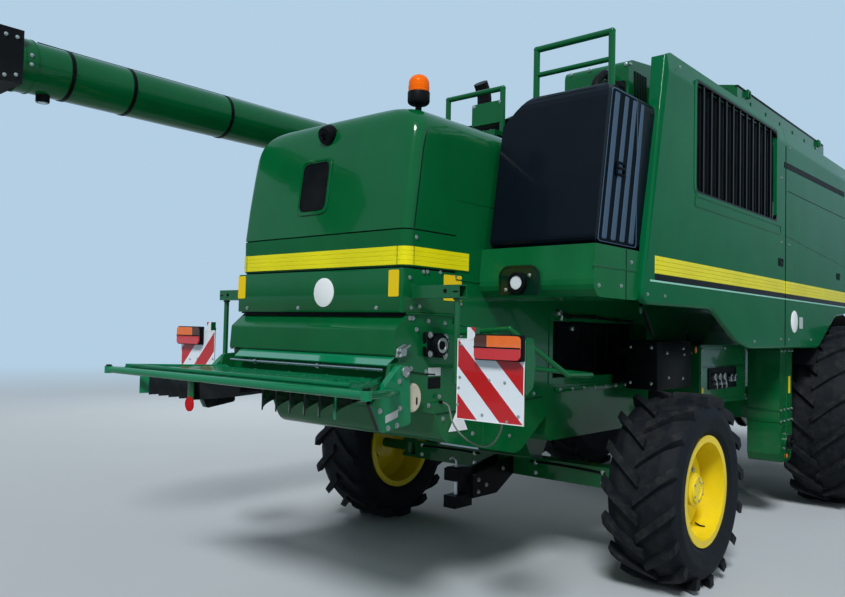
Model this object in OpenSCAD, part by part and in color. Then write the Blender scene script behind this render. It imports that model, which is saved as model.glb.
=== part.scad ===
// Self-propelled combine harvester without its header, parked on its four wheels.
// Millimetres, X forward, Y to the machine's left, Z up, origin under the middle of its box.
// Stations along X are first given from the rear axle, and place() moves them to the origin.

/* [Wheels] */
// Distance from the rear axle to the front axle
wheelbase = 3840; // [3600:10:4200]
// Outer radius of a front tyre over its lugs
front_tyre_r = 925; // [860:5:960]
// Width of a front tyre
front_tyre_w = 620; // [520:10:640]
// Sideways place of a front wheel's middle
front_wheel_y = 1530; // [1500:5:1560]
// Radius of a front rim's flange
front_rim_r = 432; // [380:2:460]
// Outer radius of a rear tyre over its lugs
rear_tyre_r = 660; // [620:5:700]
// Width of a rear tyre
rear_tyre_w = 500; // [420:10:520]
// Sideways place of a rear wheel's middle
rear_wheel_y = 1410; // [1380:5:1440]
// Radius of a rear rim's flange
rear_rim_r = 352; // [320:2:380]
// Height of a tyre lug above the carcass
lug_h = 40; // [30:1:50]
// Width of a tyre lug across its bar
lug_w = 64; // [40:1:76]
// Lugs on each side of a front tyre
front_lugs = 18; // [14:1:20]
// Lugs on each side of a rear tyre
rear_lugs = 16; // [12:1:18]
// Sheet thickness of a rim
rim_t = 14; // [10:1:20]
// Depth of the rim's disc behind its outer flange
disc_depth = 150; // [110:5:190]
// Height of a rim's flange
flange_h = 27; // [20:1:34]
// Radius of a wheel hub
hub_r = 112; // [90:2:130]

/* [Axles] */
// Height of the rear axle beam's middle
beam_z = 655; // [620:5:700]
// Height and width of the square rear axle beam
beam_s = 150; // [120:5:180]
// Sideways place of a kingpin
kingpin_y = 1080; // [1060:5:1100]
// Radius of a kingpin post
kingpin_r = 52; // [40:1:60]
// Radius of a wheel spindle
spindle_r = 44; // [36:1:45]
// Distance of the tie rod ahead of the kingpins
arm_len = 180; // [150:5:210]
// Radius of the tie rod
tie_rod_r = 18; // [14:1:24]
// Radius of the steering cylinder's barrel
steer_barrel_r = 42; // [34:1:50]
// Side of the square front axle tube
front_beam_s = 240; // [200:10:280]
// Radius of a final drive housing
final_drive_r = 215; // [180:5:250]
// Radius of a front wheel's drive stub
front_stub_r = 130; // [100:5:160]

/* [Body] */
// Half width of the threshing body
body_half_w = 750; // [700:10:780]
// Top of the threshing body
body_top_z = 2500; // [2460:10:2540]
// Thickness of housing walls
wall = 30; // [20:1:40]
// Rear face of the straw hood
hood_rear_x = -2147; // [-2250:1:-2050]
// Front end of the straw hood
hood_front_x = -1130; // [-1250:10:-1000]
// Top of the straw hood
hood_top_z = 3045; // [2950:5:3150]
// Height where the rear door of the hood ends
door_low_z = 2288; // [2250:1:2330]
// Depth of a groove between panels
groove = 8; // [4:1:14]
// Bottom of the yellow band on the hood
band_z = 2080; // [2060:1:2100]
// Height of the yellow band
band_h = 110; // [80:1:130]
// Bottom of the plain panel below the band
panel_low_z = 1807; // [1780:1:1840]
// Rearmost line of the chopper housing
chopper_rear_x = -2215; // [-2300:5:-2180]
// Ridge height of the chopper housing
chopper_top_z = 1718; // [1690:1:1750]
// Bottom of the cleaning shoe
shoe_low_z = 915; // [880:5:960]
// Half width of the cleaning shoe
shoe_half_w = 720; // [660:10:740]

/* [Side shields] */
// Distance from the grain tank's side wall to the shields' outer face
shield_out = 175; // [165:1:200]
// Thickness of a shield's edge
shield_t = 26; // [20:1:40]
// Lower edge of the rear shields
shield_low_z = 1922; // [1900:1:1950]
// Drop from the grain tank's edge to the shields' top edge over the rear axle
shield_below = 182; // [130:1:280]
// Rise of the top edge for each metre forward
shield_rise = 45.7; // [30:0.1:60]
// Distance from the grain tank's rear wall to the seam between the right shields
seam_in = 731; // [680:1:800]
// Front end of the right shields ahead of the front axle
shield_nose = 460; // [400:10:520]
// Lowest part of the front shield
shield_drop_z = 1638; // [1600:1:1680]
// Rear end of the air grille
grille_x = -115; // [-200:5:-50]
// Length of the air grille
grille_len = 1755; // [1500:5:1800]
// Bottom of the air grille
grille_z = 2712; // [2650:1:2800]
// Number of bars in the air grille
grille_bars = 11; // [7:1:15]
// Thickness of a grille bar
grille_bar_w = 22; // [14:1:30]
// Running gap at doors, shields and covers
door_gap = 6; // [5:1:10]

/* [Grain tank] */
// Distance from the grain tank's rear wall to the front axle
tank_back = 2660; // [2600:5:2700]
// Length of the grain tank
tank_len = 2650; // [2500:10:2700]
// Half width of the grain tank
tank_half_w = 1400; // [1350:5:1420]
// Bottom of the grain tank's upright walls
tank_low_z = 2530; // [2500:10:2600]
// Top edge of the grain tank
tank_top_z = 3780; // [3700:5:3800]
// Height of the covers' ridge above the tank's edge
cover_rise = 170; // [120:5:200]
// Thickness of a tank cover
cover_t = 24; // [16:1:40]

/* [Unloading auger] */
// Distance from the shields' outer face to the auger's middle
auger_out = 80; // [70:1:90]
// Height of the folded auger
auger_z = 3385; // [3350:5:3420]
// Outer radius of the auger tube
auger_r = 168; // [150:1:172]
// Distance of the auger's post behind the tank's front wall
post_back = 530; // [480:5:580]
// Height of the turning joint on the auger's post
post_z = 3120; // [3080:5:3150]
// Rear end of the auger tube
auger_end_x = -3330; // [-3400:5:-3250]
// Length of the rubber spout
spout_len = 520; // [440:5:600]
// Wall of tube and spout
tube_t = 8; // [5:1:12]

/* [Cab] */
// Gap between the grain tank and the cab
cab_gap = 130; // [100:5:180]
// Length of the cab
cab_len = 1640; // [1500:10:1700]
// Half width of the cab
cab_half_w = 950; // [900:5:980]
// Floor height of the cab
cab_floor_z = 1950; // [1930:5:2000]
// Top of the cab's walls
cab_wall_z = 3620; // [3550:5:3660]
// Thickness of the roof
roof_t = 230; // [180:5:260]
// Thickness of cab posts and walls
cab_t = 60; // [50:1:80]
// Distance of the door's hinge line ahead of the cab's rear wall
door_in = 290; // [270:5:340]
// Length of the cab door
door_len = 950; // [900:5:980]
// Height of the platform's top
platform_z = 1940; // [1920:5:1960]

/* [Feeder house] */
// Top rear corner of the feeder house ahead of the cab's rear wall
feeder_in = 370; // [340:5:400]
// Height of the feeder hinge
feeder_z = 1750; // [1720:5:1780]
// Length of the feeder house
feeder_len = 1820; // [1740:10:1900]
// Half width of the feeder house
feeder_half_w = 700; // [650:5:730]
// Height of the feeder house's front opening
feeder_mouth_h = 760; // [700:10:800]
// Lowest edge of the feeder house's front
feeder_low_z = 520; // [500:5:560]
// Bore radius of the lift cylinders
lift_bore_r = 45; // [40:1:55]
// Rod radius of the lift cylinders
lift_rod_r = 28; // [22:1:34]
// Sideways place of a lift cylinder
lift_y = 430; // [400:5:460]

/* [Rear end] */
// Side length of a square warning board
board_s = 423; // [400:1:450]
// Sideways place of a warning board's middle
board_y = 1310; // [1290:5:1330]
// Bottom of a warning board
board_z = 1255; // [1240:1:1280]
// Rear edge of the straw spreading board
tail_x = -2790; // [-2850:5:-2700]
// Height of the hinge of the spreading board
tail_z = 1490; // [1470:1:1510]
// Number of curved vanes on each side under the board
vanes = 6; // [4:1:7]
// Distance between two vanes
vane_step = 112; // [90:1:130]
// Depth of a vane
vane_h = 150; // [120:5:200]
// Thickness of a vane
vane_t = 8; // [5:1:12]
// Diameter of the bent guard tubes
guard_d = 42; // [34:1:50]
// Radius of the tow hitch pin's hole
hitch_hole_r = 16; // [14:0.5:20]
// Height of the tow hitch's jaw
hitch_jaw = 110; // [90:1:130]

/* [Fuel tank] */
// Bottom of the fuel tank
fuel_low_z = 2226; // [2215:1:2260]
// Top of the fuel tank
fuel_top_z = 3213; // [3150:1:3230]
// Rear face of the fuel tank at its bottom
fuel_rear_x = -1418; // [-1450:1:-1380]
// Distance from the fuel tank's front face to the grain tank
fuel_gap = 1800; // [1750:5:1850]
// Inner face of the fuel tank
fuel_in_y = -790; // [-820:5:-780]
// Distance of the fuel tank's outer face inside the shields' face
fuel_inset = 55; // [45:1:90]

/* [Hidden] */
$fn = 48;

// Seat gap between pieces that only touch
seat = 0.3;
// Running clearance of a shaft in its bore
fit = 0.08;
// Places along the machine that follow from the axle, the tank and the cab
tank_x = wheelbase - tank_back;
seam_x = tank_x + seam_in;
shield_top_z = tank_top_z - shield_below;
cab_x = tank_x + tank_len + cab_gap;
door_x = cab_x + door_in;
feeder_x = cab_x + feeder_in;
feeder_front_x = feeder_x + feeder_len;
auger_pivot_x = tank_end() - post_back;
left_front_x = auger_pivot_x - 240;
shield_front_x = wheelbase + shield_nose;
fuel_front_x = tank_x - fuel_gap;
// Places across the machine
shield_y = tank_half_w + shield_out;
auger_y = shield_y + auger_out;
fuel_out_y = -shield_y + fuel_inset;
deck_half_w = shield_y - 125;
post_foot_z = 2560;
// Lowest front corner and nose of the threshing body
body_toe = [cab_x - 400, 1180];
body_nose = [cab_x - 30, 1560];
// Place and bore radius of the feeder hinge
hinge_x = feeder_x - 60;
hinge_z = feeder_z - 60;
hinge_r = 40;
// Foot and eye of a lift cylinder, and the radius of their pins
lift_foot = [wheelbase + 410, 700];
lift_eye = [feeder_x + 970, 790];
lift_pin_r = 26;
// Start of a lift cylinder's barrel from its foot
barrel_x = 90;
// Door hinge line, its pin and the heights of its hinges
door_pin = [door_x - 3, cab_half_w + 22];
door_pin_r = 10;
hinge_levels = [2300, 3380];
// Hinge lines of covers and shields as [Y, Z], their pin and where their rings start
cover_hinge = [tank_half_w + 14, tank_top_z + 14];
shield_hinge = [-shield_y + 95, top_at(-535) - 13.55];
hinge_pin_r = 8;
ring_len = 46;
cover_rings = [tank_x + 200, tank_end() - 274];
rear_rings = [tank_x - 1180, tank_x + 600];
front_rings = [tank_x + 920, tank_end() - 330];
// Hinge of the spreading board as [X, Z] and the radius of its pins
spread_hinge = [chopper_rear_x + 10, tail_z];
spread_pin_r = 16;
rear_x = auger_end_x - spout_len;
mid_x = (feeder_front_x + rear_x) / 2;
green = "#0E5E2C";
yellow = "#E6CC1E";
black = "#1B1E21";
steel = "#9AA0A4";

// General shapes

module place() translate([-mid_x, 0, 0]) children();

// Outline of X and Z, from one Y to another
module slab_y(pts, y0, y1) translate([0, y1, 0]) rotate([90, 0, 0]) linear_extrude(y1 - y0)
    polygon(pts);

// Outline of Y and Z, from one X to another
module slab_x(pts, x0, x1) translate([x0, 0, 0]) rotate([90, 0, 90]) linear_extrude(x1 - x0)
    polygon(pts);

// Outline of X and Y, from one Z to another
module slab_z(pts, z0, z1) translate([0, 0, z0]) linear_extrude(z1 - z0) polygon(pts);

// Box between two corners
module block(a, b) translate(a) cube(b - a);

// Round bar between two points
module bar(p, q, r) {
    d = q - p;
    translate(p) rotate([0, acos(d.z / norm(d)), atan2(d.y, d.x)]) cylinder(r = r, h = norm(d));
}

// Bent tube through a list of points, with a ball at each bend
module bent(pts, r) {
    for (i = [0 : len(pts) - 2]) bar(pts[i], pts[i + 1], r);
    for (i = [1 : len(pts) - 2]) translate(pts[i]) sphere(r = r * 1.06, $fn = 24);
}

// Bracket plates and pin for a ring of a hinge along X, given the plate's outline
module hinge_seat(pts, line, x) {
    slab_x(pts, x - 14, x - 2);
    slab_x(pts, x + ring_len + 2, x + ring_len + 14);
    bar([x - 14, line.x, line.y], [x + ring_len + 14, line.x, line.y], hinge_pin_r - fit);
}

// Cylinder along Y from one Y to another
module drum_y(x, z, r, y0, y1) translate([x, y1, z]) rotate([90, 0, 0]) cylinder(r = r, h = y1 - y0);

// Point of an outline replaced by an arc of a radius
function turn(a, b, c, r, n) =
    let (u = (a - b) / norm(a - b), v = (c - b) / norm(c - b), half = acos(u * v) / 2,
         m = b + (u + v) / norm(u + v) * r / sin(half),
         p = b + u * r / tan(half) - m, q = b + v * r / tan(half) - m,
         a0 = atan2(p.y, p.x), s = (atan2(q.y, q.x) - a0 + 540) % 360 - 180)
    [for (i = [0 : n]) m + r * [cos(a0 + s * i / n), sin(a0 + s * i / n)]];

// Outline from rows of [x, y, corner radius]
function smooth(rows, n = 5) =
    let (k = len(rows), p = [for (w = rows) [w[0], w[1]]])
    [for (i = [0 : k - 1]) each rows[i][2] == 0 ? [p[i]]
        : turn(p[(i + k - 1) % k], p[i], p[(i + 1) % k], rows[i][2], n)];

// Rectangle of two corners with round corners
function rounded(a, b, r, n = 4) =
    smooth([[a.x, a.y, r], [b.x, a.y, r], [b.x, b.y, r], [a.x, b.y, r]], n);

// Wheels

// Tyre about Z, its lugs swept to reach the full radius
module tyre(r, w, rim_r, lugs) {
    base = r - lug_h;
    half = w / 2;
    difference() {
        union() {
            rotate_extrude($fn = 72) polygon(smooth([
                [rim_r, -half * 0.8, 0], [rim_r + flange_h, -half * 0.8, 0],
                [rim_r + flange_h + 40, -half * 0.94, 30],
                [rim_r + (base - rim_r) * 0.6, -half, 60], [base - 40, -half * 0.9, 40],
                [base, -half * 0.55, 60], [base, half * 0.55, 60],
                [base - 40, half * 0.9, 40], [rim_r + (base - rim_r) * 0.6, half, 60],
                [rim_r + flange_h + 40, half * 0.94, 30],
                [rim_r + flange_h, half * 0.8, 0], [rim_r, half * 0.8, 0]], 3));
            intersection() {
                rotate_extrude($fn = 72) polygon([
                    [base - 50, -half * 0.97], [r - 14, -half * 0.97], [r, -half * 0.8],
                    [r, half * 0.8], [r - 14, half * 0.97], [base - 50, half * 0.97]]);
                for (side = [-1, 1], i = [0 : lugs - 1])
                    rotate(360 / lugs * (i + (side > 0 ? 0.5 : 0))) lug(r, half, side);
            }
        }
        translate([0, 0, -w]) cylinder(r = rim_r, h = 2 * w);
    }
}

// One bar of the tread, slanting from the middle line out to the shoulder
module lug(r, half, side) {
    lead = half * 0.8;
    translate([r - lug_h - 45, 0, 0]) rotate([90, 0, 90]) linear_extrude(lug_h + 70) polygon([
        [lead / 2, -side * lug_w * 0.2], [lead / 2 + lug_w, -side * lug_w * 0.2],
        [-lead / 2 + lug_w * 0.6, side * half], [-lead / 2 - lug_w * 0.4, side * half]]);
}

// Outer face of a rim's flange from the middle of its tyre
function rim_half(w) = w * 0.4 + seat + rim_t;

// Rim about Z: barrel with flanges, dished disc and hub, its outer side up
module rim(rim_r, w, hub_top) {
    half = rim_half(w);
    disc = half - disc_depth;
    lip = rim_r + flange_h - 1;
    rotate_extrude($fn = 72) polygon([
        [0, disc - 80], [hub_r + 30, disc - 80], [hub_r + 30, disc - rim_t],
        [rim_r - 90, disc - rim_t], [rim_r - 60, disc - 60], [rim_r - rim_t - 8, disc - 74],
        [rim_r - rim_t - 8, -half], [lip, -half], [lip, -half + rim_t],
        [rim_r - seat, -half + rim_t], [rim_r - seat, half - rim_t], [lip, half - rim_t],
        [lip, half], [rim_r - rim_t - 8, half], [rim_r - rim_t - 8, disc - 40],
        [rim_r - 50, disc - 20], [rim_r - 82, disc], [hub_r + 20, disc], [hub_r, disc + 12],
        [hub_r, disc + hub_top], [hub_r - 16, disc + hub_top + 10], [0, disc + hub_top + 10]]);
}

// Wheel part turned to stand at its axle, outer side away from the machine
module at_wheel(x, y, z, side) place() translate([x, side * y, z]) rotate([-90 * side, 0, 0])
    children();

module front_tyre(side) color(black) at_wheel(wheelbase, front_wheel_y, front_tyre_r, side)
    tyre(front_tyre_r, front_tyre_w, front_rim_r, front_lugs);
module rear_tyre(side) color(black) at_wheel(0, rear_wheel_y, rear_tyre_r, side)
    tyre(rear_tyre_r, rear_tyre_w, rear_rim_r, rear_lugs);
module front_rim(side) color(yellow) at_wheel(wheelbase, front_wheel_y, front_tyre_r, side)
    rim(front_rim_r, front_tyre_w, 90);
module rear_rim(side) color(yellow) at_wheel(0, rear_wheel_y, rear_tyre_r, side)
    rim(rear_rim_r, rear_tyre_w, 70);

// Back of a hub, where its spindle ends
function hub_back(y, w) = y + rim_half(w) - disc_depth - 80 - seat;

// Axles

module front_axle() color(green) place() {
    s = front_beam_s / 2;
    in_y = front_wheel_y - front_tyre_w / 2 - 60;
    block([wheelbase - s, -in_y, front_tyre_r - s], [wheelbase + s, in_y, front_tyre_r + s]);
    for (side = [-1, 1]) mirror([0, side < 0 ? 1 : 0, 0]) {
        drum_y(wheelbase, front_tyre_r, final_drive_r, in_y - 240, in_y + 20);
        drum_y(wheelbase, front_tyre_r, front_stub_r, in_y, hub_back(front_wheel_y, front_tyre_w));
        slab_y([[wheelbase - s, front_tyre_r], [wheelbase + s, front_tyre_r],
                [wheelbase + s - 40, under_body(wheelbase + s - 40) - seat],
                [wheelbase - s + 40, under_body(wheelbase - s + 40) - seat]],
               body_half_w - 140, body_half_w - 60);
        // Bracket and pin at a lift cylinder's foot
        drum_y(lift_foot.x, lift_foot.y, lift_pin_r - fit, lift_y - 60, lift_y + 60);
        for (k = [-1, 1]) slab_y(smooth([
            [wheelbase + s - 1, front_tyre_r - s, 0], [lift_foot.x, lift_foot.y - 50, 40],
            [lift_foot.x + 50, lift_foot.y, 40], [lift_foot.x, lift_foot.y + 60, 40],
            [wheelbase + s - 1, front_tyre_r + s - 20, 0]]),
            lift_y + k * 45 - 10, lift_y + k * 45 + 10);
    }
}

module rear_axle() color(green) place() {
    s = beam_s / 2;
    block([-s, -kingpin_y + 120, beam_z - s], [s, kingpin_y - 120, beam_z + s]);
    for (side = [-1, 1]) mirror([0, side < 0 ? 1 : 0, 0]) {
        // Fork plates over and under the knuckle
        for (z = [beam_z - s, beam_z + s - 24]) slab_z(smooth([
            [-s, kingpin_y - 125, 0], [s, kingpin_y - 125, 0], [s, kingpin_y + 60, 50],
            [-s, kingpin_y + 60, 50]]), z, z + 24);
    }
    // Carrier that bears the beam under the threshing body
    slab_y([[-230, shoe_low_z + 40], [230, shoe_low_z + 40], [s, beam_z + s], [-s, beam_z + s]],
           -260, 260);
    // Barrel of the steering cylinder on two brackets ahead of the beam
    difference() {
        union() {
            drum_y(arm_len, beam_z, steer_barrel_r, -280, 280);
            for (y = [-250, 210]) block([s - 1, y, beam_z - 34], [arm_len, y + 40, beam_z + 34]);
        }
        drum_y(arm_len, beam_z, tie_rod_r + fit, -300, 300);
    }
}

module tow_hitch() color(black) place() {
    x = -700;
    z = 400;
    w = 55;
    difference() {
        slab_y([[x - 75, z], [x + 130, z], [x + 130, z + 290], [x - 75, z + 290]], -w, w);
        slab_y([[x - 76, z + 90], [x + 60, z + 90], [x + 60, z + 90 + hitch_jaw],
                [x - 76, z + 90 + hitch_jaw]], -w - 1, w + 1);
        translate([x, 0, z - 1]) cylinder(r = hitch_hole_r, h = 300);
    }
    // Drawbar from the jaw to the axle carrier
    slab_y([[x + 129, z + 60], [x + 129, z + 230], [-beam_s / 2 - seat, beam_z + 60],
            [-beam_s / 2 - seat, beam_z - 70], [-300, z + 60]], 60, 90);
    slab_y([[x + 129, z + 60], [x + 129, z + 230], [-beam_s / 2 - seat, beam_z + 60],
            [-beam_s / 2 - seat, beam_z - 70], [-300, z + 60]], -90, -60);
    block([x + 100, -90, z + 60], [x + 130, 90, z + 230]);
}

module knuckle(side) color(green) place() mirror([0, side < 0 ? 1 : 0, 0]) {
    in_h = beam_s / 2 - 24 - seat;
    translate([0, kingpin_y, beam_z - in_h]) cylinder(r = kingpin_r, h = 2 * in_h);
    drum_y(0, rear_tyre_r, spindle_r, kingpin_y, hub_back(rear_wheel_y, rear_tyre_w));
    // Steering arm forward to the tie rod
    slab_z(smooth([[arm_len + 34, kingpin_y - 34, 30], [arm_len + 34, kingpin_y + 34, 30],
                   [0, kingpin_y + 46, 0], [0, kingpin_y - 46, 0]]),
           beam_z - in_h, beam_z - in_h + 22);
}

module tie_rod() color(steel) place() {
    drum_y(arm_len, beam_z, tie_rod_r, -kingpin_y + 30, kingpin_y - 30);
    for (side = [-1, 1]) translate([arm_len, side * kingpin_y, beam_z - beam_s / 2 + 24 + 28])
        cylinder(r = 32, h = 44);
}

// Main body

// Underside of the body between its toe and its nose
function under_body(x) = body_toe.y
    + max(0, x - body_toe.x) * (body_nose.y - body_toe.y) / (body_nose.x - body_toe.x);

// Outline of the threshing body seen from the side
function body_outline() = smooth([
    [-1700, 1760, 0], [-1700, body_top_z, 0], [body_nose.x, body_top_z, 0], [body_nose.x, body_nose.y, 60],
    [body_toe.x, body_toe.y, 120], [1080, 1140, 60], [980, 1290, 0], [-600, 1290, 0], [-700, 1600, 0]]);

module threshing_body() color(green) place() {
    difference() {
        slab_y(body_outline(), -body_half_w, body_half_w);
        // Dark openings over the rear axle on both sides
        for (side = [-1, 1]) slab_y([[-590, 1400], [900, 1400], [900, 1800], [-590, 1800]],
            side < 0 ? -body_half_w - 1 : body_half_w - 160,
            side < 0 ? -body_half_w + 160 : body_half_w + 1);
    }
    // Arms and shaft that carry the feeder house
    drum_y(hinge_x, hinge_z, hinge_r - fit, -body_half_w, body_half_w);
    for (side = [-1, 1]) mirror([0, side < 0 ? 1 : 0, 0]) slab_y(smooth([
        [body_nose.x - 1, 1600, 0], [hinge_x, hinge_z - 80, 40], [hinge_x + 70, hinge_z, 60],
        [hinge_x, hinge_z + 80, 40], [body_nose.x - 1, 1900, 0]]), feeder_half_w + 20 + seat, body_half_w);
    // Outriggers that carry the side shields
    for (side = [-1, 1], x = [-480, 900, 2050, 2950])
        block([x, side < 0 ? -shield_y + shield_t + seat : body_half_w + seat, 2330],
              [x + 60, side < 0 ? -body_half_w - seat : shield_y - shield_t - seat, 2410]);
    // Bracket under the auger's post
    block([auger_pivot_x - 60, body_half_w + seat, 2440],
          [auger_pivot_x + 60, auger_y + 60, post_foot_z - seat]);
}

module cleaning_shoe() color(green) place() {
    slab_y(smooth([[-1860, 1230, 60], [-1780, 1060, 120], [-1000, shoe_low_z, 160],
                   [-600, 1180, 120], [-600 + 0, 1290 - seat, 0], [-700 - 3, 1600 - seat, 0],
                   [-1700 - 20, 1760 - seat, 0], [-1860, 1600, 60]]),
           -body_half_w, body_half_w);
    // Sieve pan forward of the rear axle
    slab_y([[-620, 1000], [-560, shoe_low_z + 40], [wheelbase - 1690, shoe_low_z + 40],
            [wheelbase - 1580, 1140 - seat], [1080, 1140 - seat], [980, 1290 - seat],
            [-600, 1290 - seat]],
           -shoe_half_w, shoe_half_w);
    // Bent guard tubes behind the rear wheels
    w = body_half_w - 25;
    for (side = [-1, 1]) mirror([0, side < 0 ? 1 : 0, 0]) bent([[-1680, w, 1700], [-1680, w + 410, 1735],
        [-1290, w + 560, 1470], [-1010, w + 560, 1462], [-1150, w, 1500]], guard_d / 2 - 5);
}

// Straw hood: a round-shouldered shell open towards the engine bay
function hood_section(inset) = let (w = body_half_w - inset, t = hood_top_z - inset) smooth([
    [-w, panel_low_z, 0], [w, panel_low_z, 0], [w, t - 20, 170 - inset], [0, t, 0],
    [-w, t - 20, 170 - inset]], 7);

module straw_hood() color(green) place() {
    intersection() {
        difference() {
            slab_x(hood_section(0), hood_rear_x - 20, hood_front_x);
            slab_x(hood_section(wall), hood_rear_x + 130, hood_front_x + 1);
            block([-1700 - seat, -body_half_w - 1, panel_low_z - 1],
                  [hood_front_x + 1, body_half_w + 1, body_top_z + seat]);
        }
        // The rear face leans forward above the band
        slab_y(smooth([[hood_rear_x + 47, panel_low_z, 0], [hood_rear_x + 47, band_z - 20, 0],
                       [hood_rear_x + 5, band_z, 0], [hood_rear_x, door_low_z, 20],
                       [hood_rear_x + 60, 2760, 300], [hood_rear_x + 110, hood_top_z, 140],
                       [hood_front_x, hood_top_z, 0], [hood_front_x, panel_low_z, 0]]),
               -body_half_w - 1, body_half_w + 1);
        // Groove along the lower edge of the rear door, round both corners
        difference() {
            block([hood_rear_x - 30, -body_half_w - 1, panel_low_z - 1],
                  [hood_front_x + 1, body_half_w + 1, hood_top_z + 1]);
            difference() {
                block([hood_rear_x - 31, -body_half_w - 2, door_low_z - groove],
                      [hood_rear_x + 60, body_half_w + 2, door_low_z]);
                block([hood_rear_x + groove, -body_half_w + groove, door_low_z - groove - 1],
                      [hood_rear_x + 61, body_half_w - groove, door_low_z + 1]);
            }
        }
    }
    // Flat pad under the beacon
    block([-2000, -700, hood_top_z - 90], [-1860, -560, hood_top_z]);
    // Long ribs of the band
    for (i = [0 : 3]) block([hood_rear_x - 8, -body_half_w - 8, band_z + 10 + i * band_h / 4],
        [hood_rear_x + 60, body_half_w + 8, band_z + 10 + i * band_h / 4 + 14]);
}

module chopper_housing() color(green) place() {
    slab_y(smooth([[-1701, panel_low_z - seat, 0], [-2110, panel_low_z - seat, 0],
                   [chopper_rear_x, chopper_top_z, 20], [chopper_rear_x - 10, 1574, 10],
                   [-2190, 1560, 0], [-2150, 1300, 80], [-1990, 1255, 80],
                   [-1861, 1232, 0], [-1860.4, 1601, 0], [-1720.6, 1760.6, 0]]),
           -body_half_w, body_half_w);
    for (side = [-1, 1]) {
        // Flange bearing of the rotor
        drum_y(-1930, 1634, 62, side < 0 ? -body_half_w - 34 : body_half_w - 1,
               side < 0 ? -body_half_w + 1 : body_half_w + 34);
        // Hinge plate of the spreading board
        slab_y(smooth([[-2120, 1300, 20], [-2120, 1540, 20], [-2270, 1530, 20],
                       [-2290, 1450, 20], [-2240, 1330, 20]]),
               side < 0 ? -body_half_w - 24 : body_half_w, side < 0 ? -body_half_w : body_half_w + 24);
        drum_y(spread_hinge.x, spread_hinge.y, spread_pin_r - fit,
               side < 0 ? -body_half_w - 76 : body_half_w - 1, side < 0 ? -body_half_w + 1 : body_half_w + 76);
    }
}

// Spreading board with its bent frame and the curved vanes below
module tailboard() color(green) place() {
    half_in = body_half_w - 40;
    half_out = 1080;
    x0 = chopper_rear_x - 50;
    zt = tail_z - 60;
    slab_z([[x0, -half_in], [x0, half_in], [tail_x, half_out], [tail_x, -half_out]], zt, zt + 14);
    for (i = [1 : 5]) block([x0 - 40 - i * 80, -half_in, zt + 13], [x0 - 10 - i * 80, half_in, zt + 24]);
    // Round frame that carries the sheet, with a socket at each rear corner
    corner = [tail_x - 60, half_out + 90, zt - 12];
    bar([corner.x, -corner.y, corner.z], corner, guard_d / 2);
    for (side = [-1, 1]) mirror([0, side < 0 ? 1 : 0, 0]) {
        bar([x0 + 20, body_half_w + 47, zt - 50], corner, guard_d / 2);
        translate(corner - [0, 0, 23]) cylinder(r = 26, h = 46);
    }
    for (y = [-600, 0, 600]) block([tail_x - 60, y - 20, zt - 10], [tail_x + 30, y + 20, zt + 6]);
    // Curved vanes, nearest the middle first
    for (side = [-1, 1], i = [0 : vanes - 1]) mirror([0, side < 0 ? 1 : 0, 0])
        vane(x0 - 30, 80 + i * vane_step, zt);
    // Hinge ears
    h = spread_hinge;
    for (side = [-1, 1]) mirror([0, side < 0 ? 1 : 0, 0]) difference() {
        slab_y(smooth([[h.x + 34, h.y + 34, 33], [h.x + 40, h.y - 40, 20], [h.x + 55, h.y - 285, 20],
                       [h.x - 165, h.y - 318, 20], [h.x - 250, h.y - 160, 20], [h.x - 34, h.y + 34, 33]]),
               body_half_w + 24 + seat, body_half_w + 70);
        drum_y(h.x, h.y, spread_pin_r, body_half_w, body_half_w + 80);
    }
}

// One vane: a strip bent on an arc in plan that leaves sideways
module vane(x, y, z) {
    r = 600;
    sweep = 55;
    pts = [for (i = [0 : 8]) let (a = sweep * i / 8) [x - r * sin(a), y + r * (1 - cos(a))]];
    back = [for (i = [8 : -1 : 0]) let (a = sweep * i / 8)
        [x - (r - vane_t) * sin(a), y + vane_t + (r - vane_t) * (1 - cos(a))]];
    intersection() {
        slab_z(concat(pts, back), z - vane_h, z + 1);
        slab_y([[x + 1, z - vane_h * 0.6], [x + 1, z + 1], [tail_x, z + 1], [tail_x, z - vane_h]],
               -1300, 1300);
    }
}

// Grain tank with its covers

function tank_end() = tank_x + tank_len;

module grain_tank() color(green) place() {
    difference() {
        slab_x([[-tank_half_w, tank_low_z + 420], [-tank_half_w, tank_top_z], [tank_half_w, tank_top_z],
                [tank_half_w, tank_low_z + 420], [500, tank_low_z], [-500, tank_low_z]], tank_x, tank_end());
        slab_x([[-tank_half_w + wall, tank_low_z + 430], [-tank_half_w + wall, tank_top_z + 1],
                [tank_half_w - wall, tank_top_z + 1], [tank_half_w - wall, tank_low_z + 430],
                [480, tank_low_z + 30], [-480, tank_low_z + 30]], tank_x + wall, tank_end() - wall);
    }
    // Saddles that seat the tank on the threshing body
    for (x = [tank_x, tank_end() - 120]) block([x, -480, body_top_z], [x + 120, 480, tank_low_z + 1]);
    // Hinge brackets of the two covers, then those of the right shields
    w = tank_half_w;
    t = tank_top_z;
    c = cover_hinge;
    h = shield_hinge;
    for (side = [-1, 1], x = cover_rings) mirror([0, side < 0 ? 1 : 0, 0]) hinge_seat([
        [w - 1, t - 40], [c.x + 12, t - 40], [c.x + 12, c.y + 4], [c.x, c.y + 11], [w + 2, c.y + 6],
        [w + 2, t - 1], [w - 1, t - 1]], c, x);
    for (x = [rear_rings[1], front_rings[0], front_rings[1]]) hinge_seat([
        [1 - w, h.y - 60], [1 - w, h.y + 40], [h.x + 30, h.y + 30], [h.x, h.y + 22], [h.x - 22, h.y],
        [h.x, h.y - 22], [h.x + 40, h.y - 40]], h, x);
}

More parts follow.
